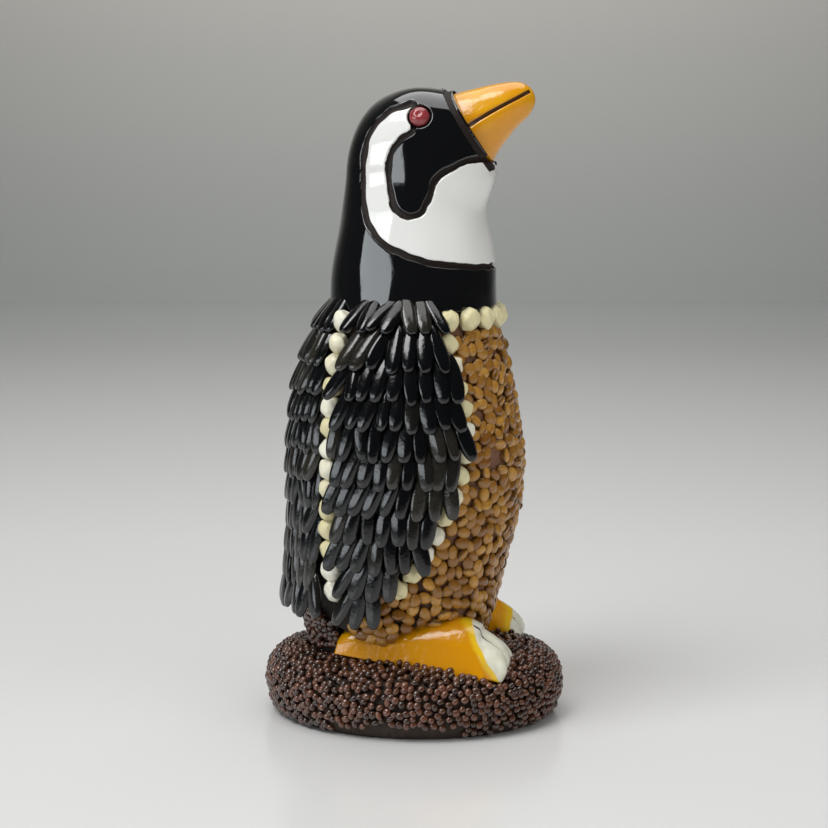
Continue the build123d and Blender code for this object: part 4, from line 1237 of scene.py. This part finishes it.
class PENGUIN_OT_stage(bpy.types.Operator):
    """Pale floor that runs up into a grey backdrop, soft lights and the camera"""

    bl_idname = "penguin.stage"
    bl_label = "Stage"

    # Softboxes in metres: place towards the camera, to its left and up, then the size.
    LIGHTS = {
        "key": ((0.3, 0.35, 0.75), 0.45),
        "fill": ((0.5, -0.5, 0.35), 0.9),
        "top": ((-0.15, 0.0, 0.85), 0.8),
        "window": ((0.45, 0.68, 0.2), 0.7),
        "backdrop": ((-0.85, 0.0, 0.7), 0.6),
    }
    TARGET = Vector((0.0, 0.0, 0.06))
    WINDOW_HEIGHT = 0.2
    DAYLIGHT = (0.9, 0.96, 1.0)
    BACKDROP_DIP = 0.3
    # Sweep in metres: front edge, start and radius of the bend, top, half width.
    FRONT = 2.0
    BEND = -0.9
    RADIUS = 0.6
    TOP = 3.0
    HALF_WIDTH = 3.0
    BEND_ROWS = 16
    # Metres over which painted shade dims the sweep away from the camera, and painted light pales it upwards.
    DIMMING = (0.15, 0.95)
    BRIGHTENING = (0.01, 0.25)

    def execute(self, context):
        paint, stage = settings(context, "paint", "stage")
        aim = Vector((math.sin(stage.azimuth), -math.cos(stage.azimuth), 0.0))
        self.sweep(paint, aim)
        self.camera(context, stage, aim)
        boxes = {name: self.softbox(name, getattr(stage, name), aim) for name in self.LIGHTS}
        boxes["fill"].visible_glossy = False
        window = boxes["window"].data
        window.shape = "RECTANGLE"
        window.size_y = self.WINDOW_HEIGHT
        window.color = self.DAYLIGHT
        away = Vector((-aim.x, -aim.y, -self.BACKDROP_DIP))
        boxes["backdrop"].rotation_euler = away.to_track_quat("-Z", "Y").to_euler()
        world = bpy.data.worlds.new("Even light")
        world.use_nodes = True
        background = world.node_tree.nodes["Background"]
        background.inputs["Color"].default_value = (1.0, 1.0, 1.0, 1.0)
        background.inputs["Strength"].default_value = stage.sky
        context.scene.world = world
        context.scene.view_settings.view_transform = "Standard"
        return {"FINISHED"}

    def sweep(self, paint, aim):
        """Floor and backdrop in one curved sheet across the line of sight."""
        profile = [(self.FRONT, 0.0), (self.BEND, 0.0)]
        for turn in np.linspace(0, math.pi / 2, self.BEND_ROWS):
            back, up = self.RADIUS * math.sin(turn), self.RADIUS - self.RADIUS * math.cos(turn)
            profile.append((self.BEND - back, up))
        profile.append((self.BEND - self.RADIUS, self.TOP))
        across = Vector((-aim.y, aim.x, 0.0))
        points, faces = [], []
        for forward, up in profile:
            for reach in (-self.HALF_WIDTH, self.HALF_WIDTH):
                points.append(aim * forward + across * reach + Vector((0, 0, up)))
        for i in range(len(profile) - 1):
            faces.append([2 * i, 2 * i + 1, 2 * i + 3, 2 * i + 2])
        mesh = bpy.data.meshes.new("sweep")
        mesh.from_pydata(points, [], faces)
        mesh.polygons.foreach_set("use_smooth", [True] * len(mesh.polygons))
        mesh.materials.append(self.painted_sweep(paint, aim))
        obj = bpy.data.objects.new("sweep", mesh)
        bpy.context.scene.collection.objects.link(obj)

    def painted_sweep(self, paint, aim):
        """Satin painted board: a pale floor that painted shade dims to the foot of the backdrop, and that
        painted light pales again above.
        """
        made, tree, shader = material("Satin painted board")
        place = own_place(tree)
        height = add(tree, "ShaderNodeSeparateXYZ", None, {0: place}).outputs["Z"]
        dot = {"operation": "DOT_PRODUCT"}
        behind = add(tree, "ShaderNodeVectorMath", dot, {0: place, 1: -aim}).outputs["Value"]
        # Painted shade and painted light: the board darkens away from the camera and pales again upwards.
        tone = mix(tree, ramp(tree, behind, *self.DIMMING), rgba(paint.floor), rgba(paint.dim))
        tone = mix(tree, ramp(tree, height, *self.BRIGHTENING), tone, rgba(paint.wall))
        connect(tree, shader, {"Base Color": tone, "Roughness": 0.2, "IOR": 1.45})
        return made

    def camera(self, context, stage, aim):
        """Camera at the photograph's viewing angle."""
        data = bpy.data.cameras.new("view")
        data.lens = stage.lens
        data.sensor_width = stage.sensor
        obj = bpy.data.objects.new("view", data)
        obj.location = aim * stage.distance + Vector((0, 0, stage.height))
        obj.rotation_euler = (math.pi / 2 - stage.tilt, 0.0, math.atan2(-aim.x, aim.y) + math.pi)
        context.scene.collection.objects.link(obj)
        context.scene.camera = obj

    def softbox(self, name, watts, aim):
        """Square softbox that looks at the bird."""
        (towards, left, up), size = self.LIGHTS[name]
        side = Vector((aim.y, -aim.x, 0.0))
        place = aim * towards + side * left + Vector((0, 0, up))
        data = bpy.data.lights.new(name, "AREA")
        data.energy = watts
        data.size = size
        obj = bpy.data.objects.new(name, data)
        obj.location = place
        obj.rotation_euler = (self.TARGET - place).to_track_quat("-Z", "Y").to_euler()
        bpy.context.scene.collection.objects.link(obj)
        return obj


class PENGUIN_PT_panel(bpy.types.Panel):
    """Settings and steps of the figurine"""

    bl_label = "Penguin figurine"
    bl_idname = "PENGUIN_PT_panel"
    bl_space_type = "VIEW_3D"
    bl_region_type = "UI"
    bl_category = "Penguin"

    def draw(self, context):
        for group in settings(context, *GROUPS):
            box = self.layout.box()
            for key in group.__annotations__:
                box.prop(group, key)
        for operator in OPERATORS:
            self.layout.operator(operator.bl_idname)


OPERATORS = (
    PENGUIN_OT_cores,
    PENGUIN_OT_head,
    PENGUIN_OT_beak,
    PENGUIN_OT_eyes,
    PENGUIN_OT_feet,
    PENGUIN_OT_feathers,
    PENGUIN_OT_borders,
    PENGUIN_OT_belly,
    PENGUIN_OT_base,
    PENGUIN_OT_stage,
)
GROUPS = {
    "head": PENGUIN_PG_head,
    "feet": PENGUIN_PG_feet,
    "seeds": PENGUIN_PG_seeds,
    "paint": PENGUIN_PG_paint,
    "stage": PENGUIN_PG_stage,
}
CLASSES = (*GROUPS.values(), *OPERATORS, PENGUIN_PT_panel)


def register():
    """Registers the settings, the steps and the panel."""
    for item in CLASSES:
        bpy.utils.register_class(item)
    for name, group in GROUPS.items():
        setattr(bpy.types.Scene, "penguin_" + name, PointerProperty(type=group))


def unregister():
    """Removes what register added."""
    for name in GROUPS:
        delattr(bpy.types.Scene, "penguin_" + name)
    for item in reversed(CLASSES):
        bpy.utils.unregister_class(item)


def main():
    """Runs every step in order."""
    register()
    for operator in OPERATORS:
        getattr(bpy.ops.penguin, operator.bl_idname.split(".")[1])()


if __name__ == "__main__":
    main()
